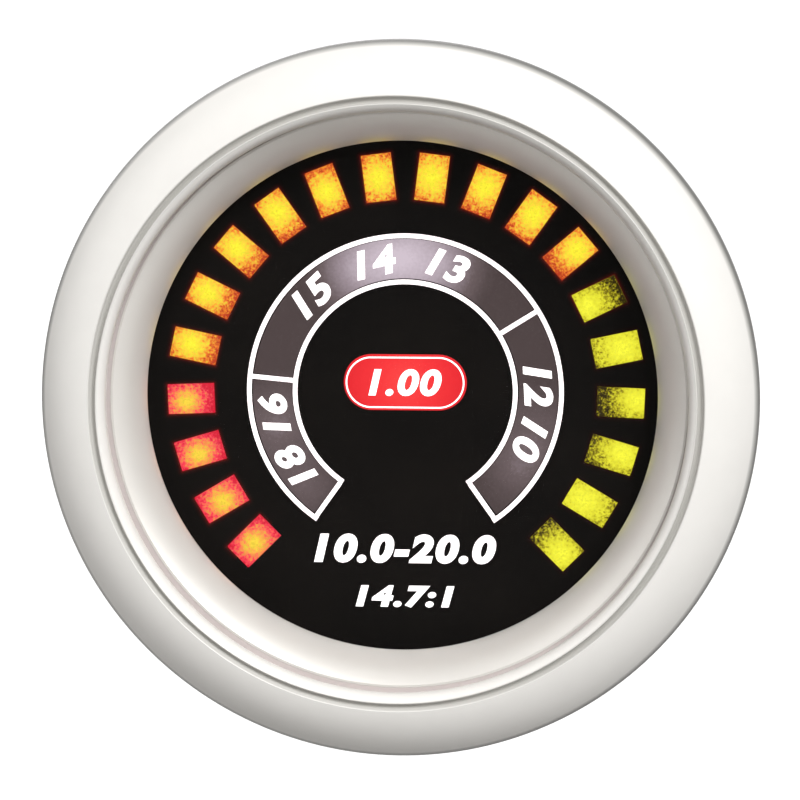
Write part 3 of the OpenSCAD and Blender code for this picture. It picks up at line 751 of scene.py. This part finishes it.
@dataclass
class Face(Assembly):
    """Bezel, lens, gasket and the funnel-shaped reflector.

    A lead, a trail, a shoulder or the groove's floor is a small step in an outline: how far along the
    radius, and how deep. The two snap values are shares of the neck's length.
    """

    bezel_r: float = 30.0
    crest: float = -5.5
    rim: float = -2.6
    rim_round: float = 0.5
    rear_bevel: float = 0.4
    face_swell: float = 0.45
    groove_out: float = 25.43
    groove_in: float = 24.93
    groove_deep: float = 0.4
    groove_round: float = 0.12
    lip_r: float = 24.15
    lip: float = -4.3
    bead_swell: float = 0.2
    seat_in: float = 26.1
    seat_relief: float = 0.3
    neck_l: float = 1.4
    neck_in: float = 25.7
    snap_in: float = 26.35
    bore: float = 24.65
    lens_r: float = 24.6
    lens_front: float = -4.0
    lens_back: float = -2.0
    lens_gap: float = 0.03
    lens_round: float = 0.25
    view_r: float = 21.5
    view: float = 1.4
    view_edge: float = 0.4
    funnel_r: float = 23.9
    funnel_swell: float = 0.35
    funnel_wall: float = 0.9
    flange: float = -1.4
    flange_back: float = -0.6
    gasket_in: float = 24.085
    turned_sharp: float = 28.0
    bezel_steps: int = 224
    rim_steps: int = 10
    face_steps: int = 26
    bead_steps: int = 12
    funnel_steps: int = 24
    groove_lead: Point = (0.05, 0.04)
    groove_wall: float = 0.12
    groove_shoulder: Point = (0.07, 0.1)
    groove_floor: Point = (0.08, 0.02)
    groove_trail: Point = (0.04, 0.04)
    bead_lead: Point = (0.1, 0.01)
    snap_from: float = 0.8
    snap_to: float = 0.4
    view_lead: Point = (0.02, 0.1)
    skirt_rise: float = 1.5
    flange_slope: float = 0.8
    # Painted shade: a dark ring over the rim's rounding and side wall, and a darker ring in the groove, stand
    # for the shade that falls there; the silver itself is one colour all over.
    painted_shade_rings: tuple[PaintedShadeRing, ...] = (PaintedShadeRing(29.68, 31.0, 0.2, (106, 105, 102)),
                               PaintedShadeRing(24.9, 25.42, 0.2, (168, 166, 161)))

    def bezel(self) -> None:
        """Turns the bezel ring: rounded face, groove, bead and lip."""
        middle = (self.groove_out + self.groove_in) / 2
        floor = self.crest + self.groove_deep
        outline: list[Point] = [(self.seat_in, 0), (self.bezel_r - self.rear_bevel, 0),
                                (self.bezel_r, -self.rear_bevel)]
        face = bow((self.bezel_r - self.rim_round, self.rim),
                   (self.groove_out + self.groove_round, self.crest), self.face_swell, self.face_steps)
        start = Vector(face[0])
        slope = (start - Vector(face[1])).normalized()
        corner = start + slope * ((self.bezel_r - start.x) / slope.x)
        foot = Vector((self.bezel_r, corner.y + (corner - start).length))
        for step in range(self.rim_steps):
            share = step / self.rim_steps
            outline.append(tuple(foot.lerp(corner, share).lerp(corner.lerp(start, share), share)))
        outline += face
        wall = self.crest + self.groove_wall
        (side, sink), (half, lift) = self.groove_shoulder, self.groove_floor
        outline += [(self.groove_out + self.groove_lead[0], self.crest + self.groove_lead[1]),
                    (self.groove_out, wall), (self.groove_out - side, floor - sink),
                    (middle + half, floor - lift), (middle, floor), (middle - half, floor - lift),
                    (self.groove_in + side, floor - sink), (self.groove_in, wall),
                    (self.groove_in - self.groove_trail[0], self.crest + self.groove_trail[1])]
        outline += bow((self.groove_in - self.bead_lead[0], self.crest + self.bead_lead[1]),
                       (self.lip_r, self.lip), self.bead_swell, self.bead_steps)
        snap_from, snap_to = -self.neck_l * self.snap_from, -self.neck_l * self.snap_to
        outline += [(self.lip_r, self.lens_front), (self.bore, self.lens_front), (self.bore, -self.neck_l),
                    (self.neck_in, -self.neck_l), (self.neck_in, snap_from), (self.snap_in, snap_from),
                    (self.snap_in, snap_to), (self.neck_in, snap_to), (self.neck_in, -self.seat_relief),
                    (self.seat_in, -self.seat_relief)]
        # The bezel's colour carries the painted shade rings of the rim and the groove.
        finish = TurnedFinish("bezel satin silver", (225, 223, 219), rough=0.46, metal=0.05, wear=Wear.SATIN,
                              drift=0.02, specular=0.1, painted_shade_rings=self.painted_shade_rings)
        piece = finished("bezel_ring", revolve(outline, self.bezel_steps), finish.shader().material,
                         self.turned_sharp)
        self.seat(piece, "bezel_satin", "front_bezel")

    def lens(self) -> None:
        """Turns the clear lens with its rounded edge."""
        flat = self.lens_r - self.lens_round * 1.5
        front, back = self.lens_front + self.lens_gap, self.lens_back - self.lens_gap
        outline = rounded([(0, front), (flat, front), (self.lens_r, front), (self.lens_r, back), (flat, back),
                           (0, back)], {2: self.lens_round, 3: self.lens_round})
        piece = finished("lens_disc", revolve(outline, closed=False),
                         ClearFinish("lens clear").shader().material)
        self.seat(piece, "lens_clear", "front_lens")

    def reflector(self) -> None:
        """Turns the funnel between the lens and the dial."""
        skirt = self.funnel_r - self.funnel_wall
        outline: list[Point] = [(self.gasket_in, self.lens_back)]
        outline += bow((self.funnel_r, self.lens_back), (self.view_r, self.view), self.funnel_swell,
                       self.funnel_steps)
        outline += [(self.view_r - self.view_lead[0], self.view + self.view_lead[1]),
                    (self.view_r, self.view + self.view_edge),
                    (self.view_r + self.view_edge, self.view + self.view_edge),
                    (skirt, self.view + self.funnel_wall * self.skirt_rise), (skirt, DIAL_DEPTH),
                    (self.funnel_r, DIAL_DEPTH),
                    (self.funnel_r, self.flange_back + self.flange_slope), (self.lens_r, self.flange_back),
                    (self.lens_r, self.flange), (self.gasket_in, self.flange)]
        finish = Finish("reflector silver", (214, 211, 206), rough=0.42, metal=0.35, wear=Wear.SATIN,
                        drift=0.02)
        piece = finished("reflector_funnel", revolve(outline), finish.shader().material, self.turned_sharp)
        self.seat(piece, "reflector_silver", "reflector_ring")

    def build(self) -> None:
        """Builds the whole face."""
        self.bezel()
        self.lens()
        self.reflector()
        silicone = Finish("gasket silicone", (186, 176, 174), rough=0.6, drift=0.05)
        self.paint("lens_gasket", silicone.shader().material)


@dataclass
class Dial(Assembly):
    """Dial plate, lit windows, scale band, badge and numerals.

    Angles are in degrees clockwise from the right. A mark is its text and its angle. A line is its text,
    its height, how far it is widened and how far below the middle it stands. A hot spot is its place along
    and across its window, and how fast the light falls off.
    """

    depth: float = DIAL_DEPTH
    thick: float = 0.8
    flange_t: float = 0.6
    flange_w: float = 0.35
    windows: WindowRing = WindowRing()
    band_r: float = 13.45
    band_w: float = 4.3
    outline: float = 0.4
    band_first: float = 124.3
    band_sweep: float = 291.4
    band_steps: int = 180
    dividers: tuple[float, float] = (185.4, 328.1)
    divider_t: float = PRINT_PROUD * 1.96
    overlap: float = 0.04
    marks: tuple[tuple[str, float], ...] = (
        ("18", 146), ("16", 170), ("15", 226), ("14", 257), ("13", 289), ("12", 357), ("10", 21))
    mark_h: float = 2.45
    mark_stroke: float = 0.04
    mark_lean: float = 0.18
    mark_width: float = 1.15
    badge_text: str = "1.00"
    badge_text_h: float = 2.3
    lean: float = 0.2
    lines: tuple[tuple[str, float, float, float], ...] = (
        ("10.0-20.0", 2.5, 1.15, 13.4), ("14.7:1", 1.9, 1.35, 17.5))
    line_stroke: float = 0.052
    badge_l: float = 10.4
    badge_w: float = 4.7
    badge_up: float = BADGE_UP
    badge_steps: int = 66
    badge_line: float = 0.13
    badge_inset: float = 0.16
    proud: float = PRINT_PROUD
    edge: float = 0.05
    hot_spots: tuple[tuple[float, float, float], ...] = (
        (0.52, 0.45, 1.05), (0.50, 0.42, 1.0), (0.55, 0.40, 1.05), (0.60, 0.42, 1.1),
        (0.60, 0.55, 0.8), (0.62, 0.55, 0.8), (0.62, 0.5, 0.8), (0.60, 0.5, 0.75), (0.48, 0.5, 0.8),
        (0.50, 0.5, 0.75), (0.52, 0.5, 0.7), (0.60, 0.5, 0.75), (0.58, 0.52, 0.75), (0.66, 0.55, 0.8),
        (0.22, 0.55, 0.85), (0.62, 0.5, 0.62), (0.85, 0.4, 0.85), (0.72, 0.35, 0.75), (0.35, 0.5, 0.6),
        (0.70, 0.6, 0.8))

    def bar(self, number: int) -> Mesh:
        """One lit window: a plug with a flange, its face marked for the glow.

        Args:
            number: its place round the dial, from 0.

        Returns:
            The mesh, with the UV map "window" and the attribute "lamp".
        """
        ring = self.windows
        angle = ring.first + number * ring.step
        plug = block((ring.length, ring.width, self.thick),
                     round_dial(ring.radius, angle, self.depth + self.thick / 2), angle, self.edge)
        foot = block((ring.length + self.flange_w * 2, ring.width + self.flange_w * 2, self.flange_t),
                     round_dial(ring.radius, angle, self.depth + self.thick + self.flange_t / 2), angle,
                     self.edge)
        mesh = joined((plug, foot))
        window = mesh.loops.layers.uv.new("window")
        lamp = mesh.verts.layers.float_vector.new("lamp")
        spin = math.radians(angle)
        out = Vector((math.cos(spin), 0, -math.sin(spin)))
        side = Vector((-math.sin(spin), 0, -math.cos(spin)))
        centre = round_dial(ring.radius, angle, 0)
        for vert in mesh.verts:
            vert[lamp] = self.hot_spots[number]
        for face in mesh.faces:
            for loop in face.loops:
                away = loop.vert.co - centre
                loop[window].uv = (away.dot(out) / (ring.length * MM) + 0.5,
                                   away.dot(side) / (ring.width * MM) + 0.5)
        return mesh

    def bars(self) -> None:
        """Makes the three colours of lit windows."""
        groups = (
            ("red_lights", "window_red", "red_windows", range(0, 4), GlowFinish(
                "window red lit", (250, 214, 66), (252, 156, 78), (252, 66, 88), (214, 24, 52), reach=1.6,
                speck=1.5)),
            ("amber_lights", "window_amber", "amber_windows", range(4, 14), GlowFinish(
                "window amber lit", (255, 240, 56), (253, 208, 62), (240, 124, 44), (184, 56, 28), reach=1.85,
                speck=1.6)),
            ("green_lights", "window_green", "green_windows", range(14, 20), GlowFinish(
                "window yellow green lit", (248, 246, 62), (222, 216, 48), (146, 134, 22), (44, 36, 8),
                reach=1.55, speck=1.6)),
        )
        for name, slot, node, numbers, finish in groups:
            mesh = joined(self.bar(number) for number in numbers)
            self.seat(finished(name, mesh, finish.shader().material), slot, node)

    def strip(self, radius_in: float, radius_out: float) -> Mesh:
        """A curved printed strip along the scale band.

        Args:
            radius_in: inner radius, in mm.
            radius_out: outer radius, in mm.

        Returns:
            The mesh.
        """
        mesh = bmesh.new()
        front, back = self.depth - self.proud, self.depth + self.proud
        corners = ((radius_in, front), (radius_out, front), (radius_out, back), (radius_in, back))
        face = mesh.faces.new([mesh.verts.new(round_dial(r, self.band_first, d)) for r, d in corners])
        return swept(mesh, [face], Vector(), math.radians(self.band_sweep), self.band_steps)

    def band(self) -> None:
        """Prints the white outline of the scale band and lights the sectors in it."""
        inner = self.band_r - self.band_w
        parts = [self.strip(start, start + self.outline) for start in (self.band_r - self.outline, inner)]
        middle = (self.band_r + inner) / 2
        half = math.degrees(self.outline / middle / 2)
        for angle in (self.band_first + half, *self.dividers, self.band_first + self.band_sweep - half):
            parts.append(block((self.band_w - self.outline * 2 + self.overlap, self.outline, self.divider_t),
                               round_dial(middle, angle, self.depth), angle))
        white = GlowPrint("print white lit", (250, 238, 240), (240, 220, 227)).shader().material
        self.seat(finished("band_outline", joined(parts), white), "band_grey")
        self.paint("band_windows", BandGlow("band grey lit").shader().material)

    def badge_border(self) -> Mesh:
        """A thin printed line just inside the badge's edge.

        Returns:
            The mesh.
        """
        mesh = bmesh.new()
        half = (self.badge_l - self.badge_w) / 2 * MM
        circle = bmesh.ops.create_circle(mesh, cap_ends=True, segments=self.badge_steps,
                                         radius=(self.badge_w / 2 - self.badge_inset) * MM)["verts"]
        for vert in circle:
            vert.co.x += math.copysign(half, vert.co.x)
        inner = mesh.faces[:]
        bmesh.ops.inset_individual(mesh, faces=inner, thickness=self.badge_line * MM, use_even_offset=True)
        bmesh.ops.delete(mesh, geom=inner, context="FACES")
        raised = bmesh.ops.extrude_face_region(mesh, geom=mesh.faces[:])["geom"]
        bmesh.ops.translate(mesh, vec=(0, 0, self.proud * 1.5 * MM),
                            verts=[v for v in raised if isinstance(v, bmesh.types.BMVert)])
        bmesh.ops.recalc_face_normals(mesh, faces=mesh.faces)
        return on_dial(mesh, -90, self.badge_up, self.depth)

    def numerals(self) -> None:
        """Sets plain numbers on the band, in the badge and on the two lower lines."""
        middle = self.band_r - self.band_w / 2
        face = self.depth - self.proud / 2
        parts = [self.badge_border()]
        for text, angle in self.marks:
            mesh = lettering(text, self.mark_h, self.mark_stroke, self.mark_lean, self.mark_width)
            parts.append(on_dial(mesh, angle, middle, face))
        mesh = lettering(self.badge_text, self.badge_text_h, self.mark_stroke, self.lean, self.mark_width)
        parts.append(on_dial(mesh, -90, self.badge_up, face))
        for text, height, width, down in self.lines:
            mesh = lettering(text, height, self.line_stroke, self.lean, width)
            parts.append(on_dial(mesh, -90, -down, face))
        white = GlowPrint("numerals white lit", (255, 253, 252), (255, 238, 244)).shader().material
        self.seat(finished("dial_numerals", joined(parts), white), "band_grey")

    def build(self) -> None:
        """Builds the whole dial."""
        self.bars()
        self.band()
        self.numerals()
        self.paint("dial_plate", DialBlack("dial black").shader().material)
        self.paint("badge_window", BadgeGlow("badge red lit").shader().material)


@dataclass(frozen=True)
class GlowPrint:
    """White print that lets the light through, a little uneven."""

    name: str
    bright: Rgb
    dim: Rgb
    strength: float = 0.98

    def shader(self) -> Shader:
        """Builds the material.

        Returns:
            The shader.
        """
        made = Shader(self.name)
        colour = made.ramp(made.noise(1.6, 2.0), [(0.35, tint(*self.dim)), (0.6, tint(*self.bright))])
        made.dress(Base_Color=tint(225, 222, 220), Roughness=made.vary(made.noise(0.4), 0.5, 0.6),
                   Emission_Color=colour, Emission_Strength=self.strength)
        return made


@dataclass(frozen=True)
class BandGlow:
    """Grey translucent sectors, brighter in front of their lamps."""

    name: str
    lamps: tuple[tuple[float, float, float, float], ...] = (
        (-0.6, 11.4, 7.8, 1.02), (-4.6, 10.4, 4.6, 0.3), (3.4, 10.8, 4.6, 0.3), (-10.8, -3.0, 5.0, 0.4),
        (10.9, -3.8, 5.0, 0.3), (-8.6, -8.0, 3.6, 0.3), (9.6, -6.6, 3.6, 0.25))

    def shader(self) -> Shader:
        """Builds the material.

        Returns:
            The shader.
        """
        made = Shader(self.name)
        total: object = 0.0
        for across, up, reach, level in self.lamps:
            away = made.away(to_frame(across, -up, DIAL_DEPTH))
            total = made.math("ADD", total, made.spread(away, 0.0, reach * MM, level, 0.0))
        fine = made.noise(0.25, 2.0)
        level = made.math("ADD", total, made.swing(fine, 0.16))
        colour = made.ramp(level, [(0.0, tint(70, 58, 58)), (0.3, tint(104, 90, 92)),
                                   (0.65, tint(163, 148, 157)), (1.0, tint(218, 203, 215))])
        made.dress(Specular_IOR_Level=0.05, Base_Color=tint(40, 36, 36),
                   Roughness=made.vary(fine, 0.4, 0.55), Normal=made.bump(fine, 0.004),
                   Emission_Color=colour, Emission_Strength=0.9)
        return made


@dataclass(frozen=True)
class BadgeGlow:
    """Red window of the badge, brighter in its middle."""

    name: str
    up: float = BADGE_UP
    reach: float = 6.0

    def shader(self) -> Shader:
        """Builds the material.

        Returns:
            The shader.
        """
        made = Shader(self.name)
        away = made.away(to_frame(0.0, -self.up, DIAL_DEPTH))
        fine = made.noise(0.25, 2.0)
        level = made.math("ADD", made.spread(away, 0.0, self.reach * MM, 1.0, 0.0), made.swing(fine, 0.25))
        colour = made.ramp(level, [(0.0, tint(226, 34, 44)), (0.6, tint(250, 56, 60)),
                                   (1.0, tint(255, 74, 72))])
        made.dress(Specular_IOR_Level=0.05, Base_Color=tint(60, 8, 10),
                   Roughness=made.vary(fine, 0.35, 0.5), Normal=made.bump(fine, 0.004),
                   Emission_Color=colour, Emission_Strength=0.95)
        return made


@dataclass(frozen=True)
class DialBlack:
    """Near-black dial print with a faint red halo round the lit windows."""

    name: str
    windows: WindowRing = WindowRing()
    reach: float = 0.5

    def shader(self) -> Shader:
        """Builds the material.

        Returns:
            The shader.
        """
        made = Shader(self.name)
        split = made.node("ShaderNodeSeparateXYZ", {0: made.place})
        across, up = split.outputs[0], split.outputs[2]
        radius = made.length(across, up)
        turn = made.math("ARCTAN2", made.math("MULTIPLY", up, -1.0), across)
        first, pitch = math.radians(self.windows.first), math.radians(self.windows.step)
        past = made.math("FLOORED_MODULO", made.math("SUBTRACT", turn, first), math.tau)
        number = made.math("ROUND", made.math("DIVIDE", past, pitch))
        number = made.math("MINIMUM", number, self.windows.count - 1)
        near = made.math("MULTIPLY", number, pitch)
        off = made.math("SUBTRACT", past, near)
        along = made.math("MULTIPLY", radius, made.math("COSINE", off))
        along = made.math("SUBTRACT", along, self.windows.radius * MM)
        side = made.math("MULTIPLY", radius, made.math("SINE", off))
        past_l, past_w = (
            made.math("MAXIMUM", made.math("SUBTRACT", made.math("ABSOLUTE", value), size / 2 * MM), 0.0)
            for value, size in ((along, self.windows.length), (side, self.windows.width)))
        away = made.length(past_l, past_w)
        halo = made.spread(away, 0.0, self.reach * MM, 1.0, 0.0)
        halo = made.math("MULTIPLY", made.math("POWER", halo, 2.0), made.spread(past, 3.45, 3.6, 1.0, 0.25))
        fine = made.noise(0.22, 2.0)
        made.dress(
            Base_Color=made.ramp(made.noise(7.0, 3.0), [(0.3, tint(9, 7, 6)), (0.7, tint(15, 12, 10))]),
            Roughness=made.vary(fine, 0.5, 0.65), Normal=made.bump(fine, 0.004),
            Specular_IOR_Level=0.04, Emission_Strength=0.7,
            Emission_Color=made.ramp(halo, [(0.0, tint(0, 0, 0)), (0.45, tint(54, 7, 5)),
                                            (1.0, tint(120, 20, 10))]))
        return made


@dataclass
class Inside(Assembly):
    """Everything that the housing hides: light box, lamps, boards and their parts."""

    finishes: dict[str, Finish] = field(default_factory=lambda: {
        "light_box": Finish("light box white", (236, 234, 228), rough=0.55, drift=0.04),
        "red_leds": Finish("lamp case red", (206, 60, 56), rough=0.3, coat=0.4),
        "amber_leds": Finish("lamp case amber", (226, 160, 60), rough=0.3, coat=0.4),
        "green_leds": Finish("lamp case green", (176, 200, 70), rough=0.3, coat=0.4),
        "backlight_leds": Finish("lamp case white", (240, 238, 214), rough=0.3, coat=0.4),
        "driver_chips": Finish("chip black", (34, 34, 37), rough=0.5, wear=Wear.SPARK),
        "chip_pins": Finish("tinned legs", (190, 190, 188), rough=0.3, metal=1.0, wear=Wear.STAMPED),
        "capacitors": Finish("capacitor sleeve", (28, 42, 96), rough=0.35, coat=0.3),
        "voltage_regulator": Finish("regulator black", (40, 40, 42), rough=0.5, wear=Wear.SPARK),
        "input_diodes": Finish("diode black", (30, 30, 33), rough=0.4),
        "resistors": Finish("resistor grey", (62, 66, 74), rough=0.45),
        "pin_header": Finish("header black", (24, 24, 25), rough=0.45),
        "header_socket": Finish("header socket black", (22, 22, 24), rough=0.5),
        "header_pins": Finish("header gold", (212, 176, 92), rough=0.25, metal=1.0, wear=Wear.POLISHED),
        "board_spacers": Finish("spacer brass", (196, 164, 92), rough=0.3, metal=1.0, wear=Wear.SATIN),
        "board_screws": Finish("board screw zinc", (186, 188, 190), rough=0.3, metal=1.0, wear=Wear.STAMPED),
    })

    def build(self) -> None:
        """Finishes every hidden solid."""
        for node, finish in self.finishes.items():
            self.paint(node, finish.shader().material)
        board = BoardFinish("board green")
        for node in ("display_board", "driver_board"):
            self.paint(node, board.shader().material)


@dataclass(frozen=True)
class BoardFinish:
    """Green solder mask over copper tracks."""

    name: str
    pitch: float = 1.3

    def shader(self) -> Shader:
        """Builds the material.

        Returns:
            The shader.
        """
        made = Shader(self.name)
        tracks = made.node("ShaderNodeTexVoronoi", {
            "Vector": made.place, "Scale": 1 / (self.pitch * MM), "Randomness": 0.35},
            distance="MANHATTAN", feature="F1").outputs["Distance"]
        copper = made.spread(tracks, 0.42, 0.5, 0.0, 1.0)
        made.dress(Base_Color=made.ramp(copper, [(0.0, tint(14, 74, 40)), (1.0, tint(34, 112, 62))]),
                   Roughness=made.vary(made.noise(0.8), 0.28, 0.4),
                   Normal=made.bump(copper, 0.03), Coat_Weight=0.3, Coat_Roughness=0.1)
        return made


@dataclass
class Case(Assembly):
    """Moulded housing, rear cover, its screws and the socket."""

    def build(self) -> None:
        """Builds the case."""
        black = Finish("housing black", (30, 30, 31), rough=0.5, wear=Wear.SPARK, drift=0.12)
        dark = Finish("cover black", (34, 34, 35), rough=0.52, wear=Wear.SPARK, drift=0.12)
        zinc = Finish("cover screw zinc", (190, 192, 194), rough=0.28, metal=1.0, wear=Wear.STAMPED)
        natural = Finish("socket nylon", (226, 221, 206), rough=0.42, drift=0.06)
        gold = Finish("contact gold", (214, 178, 94), rough=0.22, metal=1.0, wear=Wear.POLISHED)
        for name, node, slot, finish, width in (
                ("housing_can", "housing", "housing_black", black, 0.12),
                ("rear_lid", "rear_cover", "housing_black", dark, 0.15),
                ("lid_screws", "cover_screws", "zinc_steel", zinc, 0.08),
                ("harness_inlet", "socket_shell", "socket_natural", natural, 0.12),
                ("inlet_contacts", "socket_pins", "contact_gold", gold, 0.06)):
            self.seat(dressed_solid(name, node, width, finish.shader().material), slot, node)


@dataclass
class Clamp(Assembly):
    """Studs, bracket, washers and knurled nuts that hold the gauge in a panel."""

    stud_x: float = 16.0
    stud_r: float = 2.0
    core_r: float = 1.68
    pitch: float = 0.7
    thread_from: float = 31.9
    thread_to: float = 49.9
    stud_end: float = 50.7
    head_r: float = 3.8
    cover: float = 29.0
    head_h: float = 2.4
    ridge_sink: float = 0.05
    ridge_foot: float = 0.33
    ridge_crest: float = 0.06
    ridge_top: float = 1.98
    turn_steps: int = 28
    runout: float = 0.3
    tip: float = 0.35
    sink: float = 0.4
    head_round: float = 0.15
    stud_steps: int = 48

    def thread(self, side: int) -> Mesh:
        """One ridge of thread, wound round a stud.

        Args:
            side: -1 for the left stud, 1 for the right one.

        Returns:
            The mesh.
        """
        mesh = bmesh.new()
        base = self.core_r - self.ridge_sink
        corners = ((base, -self.ridge_foot), (self.ridge_top, -self.ridge_crest),
                   (self.ridge_top, self.ridge_crest), (base, self.ridge_foot))
        face = mesh.faces.new([
            mesh.verts.new(to_frame(side * self.stud_x + r, 0, self.thread_from + d * self.pitch))
            for r, d in corners])
        turns = (self.thread_to - self.thread_from) / self.pitch
        steps = int(turns * self.turn_steps)
        rise = (self.thread_to - self.thread_from) / steps * MM
        return swept(mesh, [face], to_frame(side * self.stud_x, 0, 0), -math.tau * turns, steps, rise)

    def stud(self, side: int) -> Mesh:
        """One threaded stud with its six-sided head.

        Args:
            side: -1 for the left stud, 1 for the right one.

        Returns:
            The mesh.
        """
        start = self.cover - self.sink
        shaft = revolve([(0, start), (self.stud_r, start), (self.stud_r, self.thread_from - self.runout),
                         (self.core_r, self.thread_from), (self.core_r, self.stud_end - self.tip),
                         (self.core_r - self.tip, self.stud_end), (0, self.stud_end)],
                        self.stud_steps, side * self.stud_x, closed=False)
        head = bmesh.new()
        bmesh.ops.create_cone(head, cap_ends=True, segments=6, radius1=self.head_r * MM,
                              radius2=self.head_r * MM, depth=self.head_h * MM)
        bmesh.ops.rotate(head, cent=(0, 0, 0), matrix=Matrix.Rotation(math.pi / 2, 3, "X"), verts=head.verts)
        bevelled(head, head.edges[:], self.head_round)
        bmesh.ops.translate(head, vec=to_frame(side * self.stud_x, 0, self.cover - self.head_h / 2),
                            verts=head.verts)
        return joined((shaft, head, self.thread(side)))

    def build(self) -> None:
        """Builds the clamp."""
        steel = Finish("bracket zinc steel", (172, 174, 176), rough=0.34, metal=1.0, wear=Wear.STAMPED,
                       drift=0.1)
        bright = Finish("stud zinc steel", (188, 190, 192), rough=0.28, metal=1.0, wear=Wear.SATIN)
        brass = Finish("nut brass", (204, 172, 98), rough=0.3, metal=1.0, wear=Wear.SATIN, drift=0.1)
        studs = finished("threaded_studs", joined(self.stud(side) for side in (-1, 1)),
                         bright.shader().material)
        self.seat(studs, "zinc_steel", "mounting_studs")
        for name, node, slot, finish, width, body in (
                ("clamp_strap", "clamp_bracket", "zinc_steel", steel, 0.15, "bracket"),
                ("strap_washers", "washers", "zinc_steel", bright, 0.1, "bracket"),
                ("left_thumb_nut", "nut_left", "nut_brass", brass, 0.07, "left_nut"),
                ("right_thumb_nut", "nut_right", "nut_brass", brass, 0.07, "right_nut")):
            piece = dressed_solid(name, node, width, finish.shader().material)
            self.seat(piece, slot, node, body=body)


# Studio


@dataclass
class Studio:
    """Floor, light, background and camera."""

    azimuth: float = 4.8
    elevation: float = 6.4
    distance: float = 380.0
    view_width: float = 66.45
    sensor: float = 36.0
    target: tuple[float, float, float] = (0.18, -2.0, 0.12)
    floor: float = -90.0
    floor_half: float = 6.0
    fill: float = 0.34
    key: tuple[float, float, float] = (0.4, -0.72, 0.57)
    key_level: float = 3.55
    key_spread: float = 34.0
    side: tuple[float, float, float] = (-0.8, -0.45, 0.4)
    side_level: float = 0.64
    side_spread: float = 60.0
    floor_glow: float = 0.78
    rear: tuple[float, float, float] = (-0.3, 0.9, 0.5)
    rear_size: float = 0.8
    rear_power: float = 4.0

    def background(self) -> None:
        """Lights the surroundings softly and shows them white."""
        world = bpy.data.worlds.new("studio")
        bpy.context.scene.world = world
        world.use_nodes = True
        tree = world.node_tree
        tree.nodes.clear()
        path = tree.nodes.new("ShaderNodeLightPath")
        seen, soft = tree.nodes.new("ShaderNodeBackground"), tree.nodes.new("ShaderNodeBackground")
        seen.inputs["Color"].default_value = (1.0, 1.0, 1.0, 1.0)
        soft.inputs["Color"].default_value = tint(250, 248, 246)
        soft.inputs["Strength"].default_value = self.fill
        mix, out = tree.nodes.new("ShaderNodeMixShader"), tree.nodes.new("ShaderNodeOutputWorld")
        shown = path.outputs["Is Camera Ray"]
        for ray in ("Is Glossy Ray", "Is Transmission Ray"):
            either = tree.nodes.new("ShaderNodeMath")
            either.operation = "MAXIMUM"
            tree.links.new(shown, either.inputs[0])
            tree.links.new(path.outputs[ray], either.inputs[1])
            shown = either.outputs[0]
        tree.links.new(shown, mix.inputs[0])
        tree.links.new(soft.outputs[0], mix.inputs[1])
        tree.links.new(seen.outputs[0], mix.inputs[2])
        tree.links.new(mix.outputs[0], out.inputs["Surface"])

    def ground(self) -> None:
        """Lays the pale floor, which looks white and keeps a soft shadow."""
        mesh = bmesh.new()
        bmesh.ops.create_grid(mesh, x_segments=2, y_segments=2, size=self.floor_half)
        bmesh.ops.translate(mesh, vec=(0, 0, self.floor * MM), verts=mesh.verts)
        made = Shader("floor pale")
        path = made.node("ShaderNodeLightPath").outputs
        shown = made.math("MAXIMUM", path["Is Camera Ray"],
                          made.math("MAXIMUM", path["Is Glossy Ray"], path["Is Transmission Ray"]))
        made.dress(Base_Color=tint(138, 137, 136), Roughness=0.9, Specular_IOR_Level=0.1,
                   Emission_Color=(1.0, 1.0, 1.0, 1.0),
                   Emission_Strength=made.math("MULTIPLY", shown, self.floor_glow))
        floor = finished("floor", mesh, made.material)

    def hang(self, name: str, data: bpy.types.Light, place: Sequence[float]) -> None:
        """Hangs a light and turns it to the gauge.

        Args:
            name: its name.
            data: the light.
            place: its place, in metres.
        """
        made = linked(name, data)
        made.location = place
        made.rotation_mode = "QUATERNION"
        made.rotation_quaternion = (-Vector(place)).to_track_quat("-Z", "Y")

    def distant(self, name: str, place: Sequence[float], level: float, spread: float) -> None:
        """Sets a soft light that comes from far away.

        Args:
            name: its name.
            place: the side that it comes from.
            level: its strength.
            spread: how wide it is seen, in degrees.
        """
        data = bpy.data.lights.new(name, "SUN")
        data.energy = level
        data.angle = math.radians(spread)
        self.hang(name, data, place)

    def lamp(self, name: str, place: Sequence[float], size: float, energy: float) -> None:
        """Sets a soft square lamp.

        Args:
            name: its name.
            place: its place, in metres.
            size: its side, in metres.
            energy: its power, in watts.
        """
        data = bpy.data.lights.new(name, "AREA")
        data.size = size
        data.energy = energy
        self.hang(name, data, place)

    def camera(self) -> None:
        """Sets the camera at the photograph's viewing angle."""
        turn, rise = math.radians(self.azimuth), math.radians(self.elevation)
        back = Vector((math.sin(turn) * math.cos(rise), -math.cos(turn) * math.cos(rise), math.sin(rise)))
        data = bpy.data.cameras.new("camera")
        data.sensor_width = self.sensor
        data.lens = self.sensor * self.distance / self.view_width
        data.clip_start, data.clip_end = 0.01, 50.0
        made = linked("camera", data)
        made.location = Vector(self.target) * MM + back * self.distance * MM
        made.rotation_mode = "QUATERNION"
        made.rotation_quaternion = (-back).to_track_quat("-Z", "Y")
        bpy.context.scene.camera = made

    def build(self) -> None:
        """Builds the studio."""
        bpy.context.scene.view_settings.view_transform = "Standard"
        self.background()
        self.ground()
        self.distant("key", self.key, self.key_level, self.key_spread)
        self.distant("side fill", self.side, self.side_level, self.side_spread)
        self.lamp("rear fill", self.rear, self.rear_size, self.rear_power)
        self.camera()


def main() -> None:
    """Builds the gauge and its studio."""
    logging.basicConfig(level=logging.INFO, format="%(message)s")
    Studio().build()
    for assembly in (Face(), Dial(), Inside(), Case(), Clamp()):
        log.info("building %s", type(assembly).__name__)
        assembly.build()


if __name__ == "__main__":
    main()
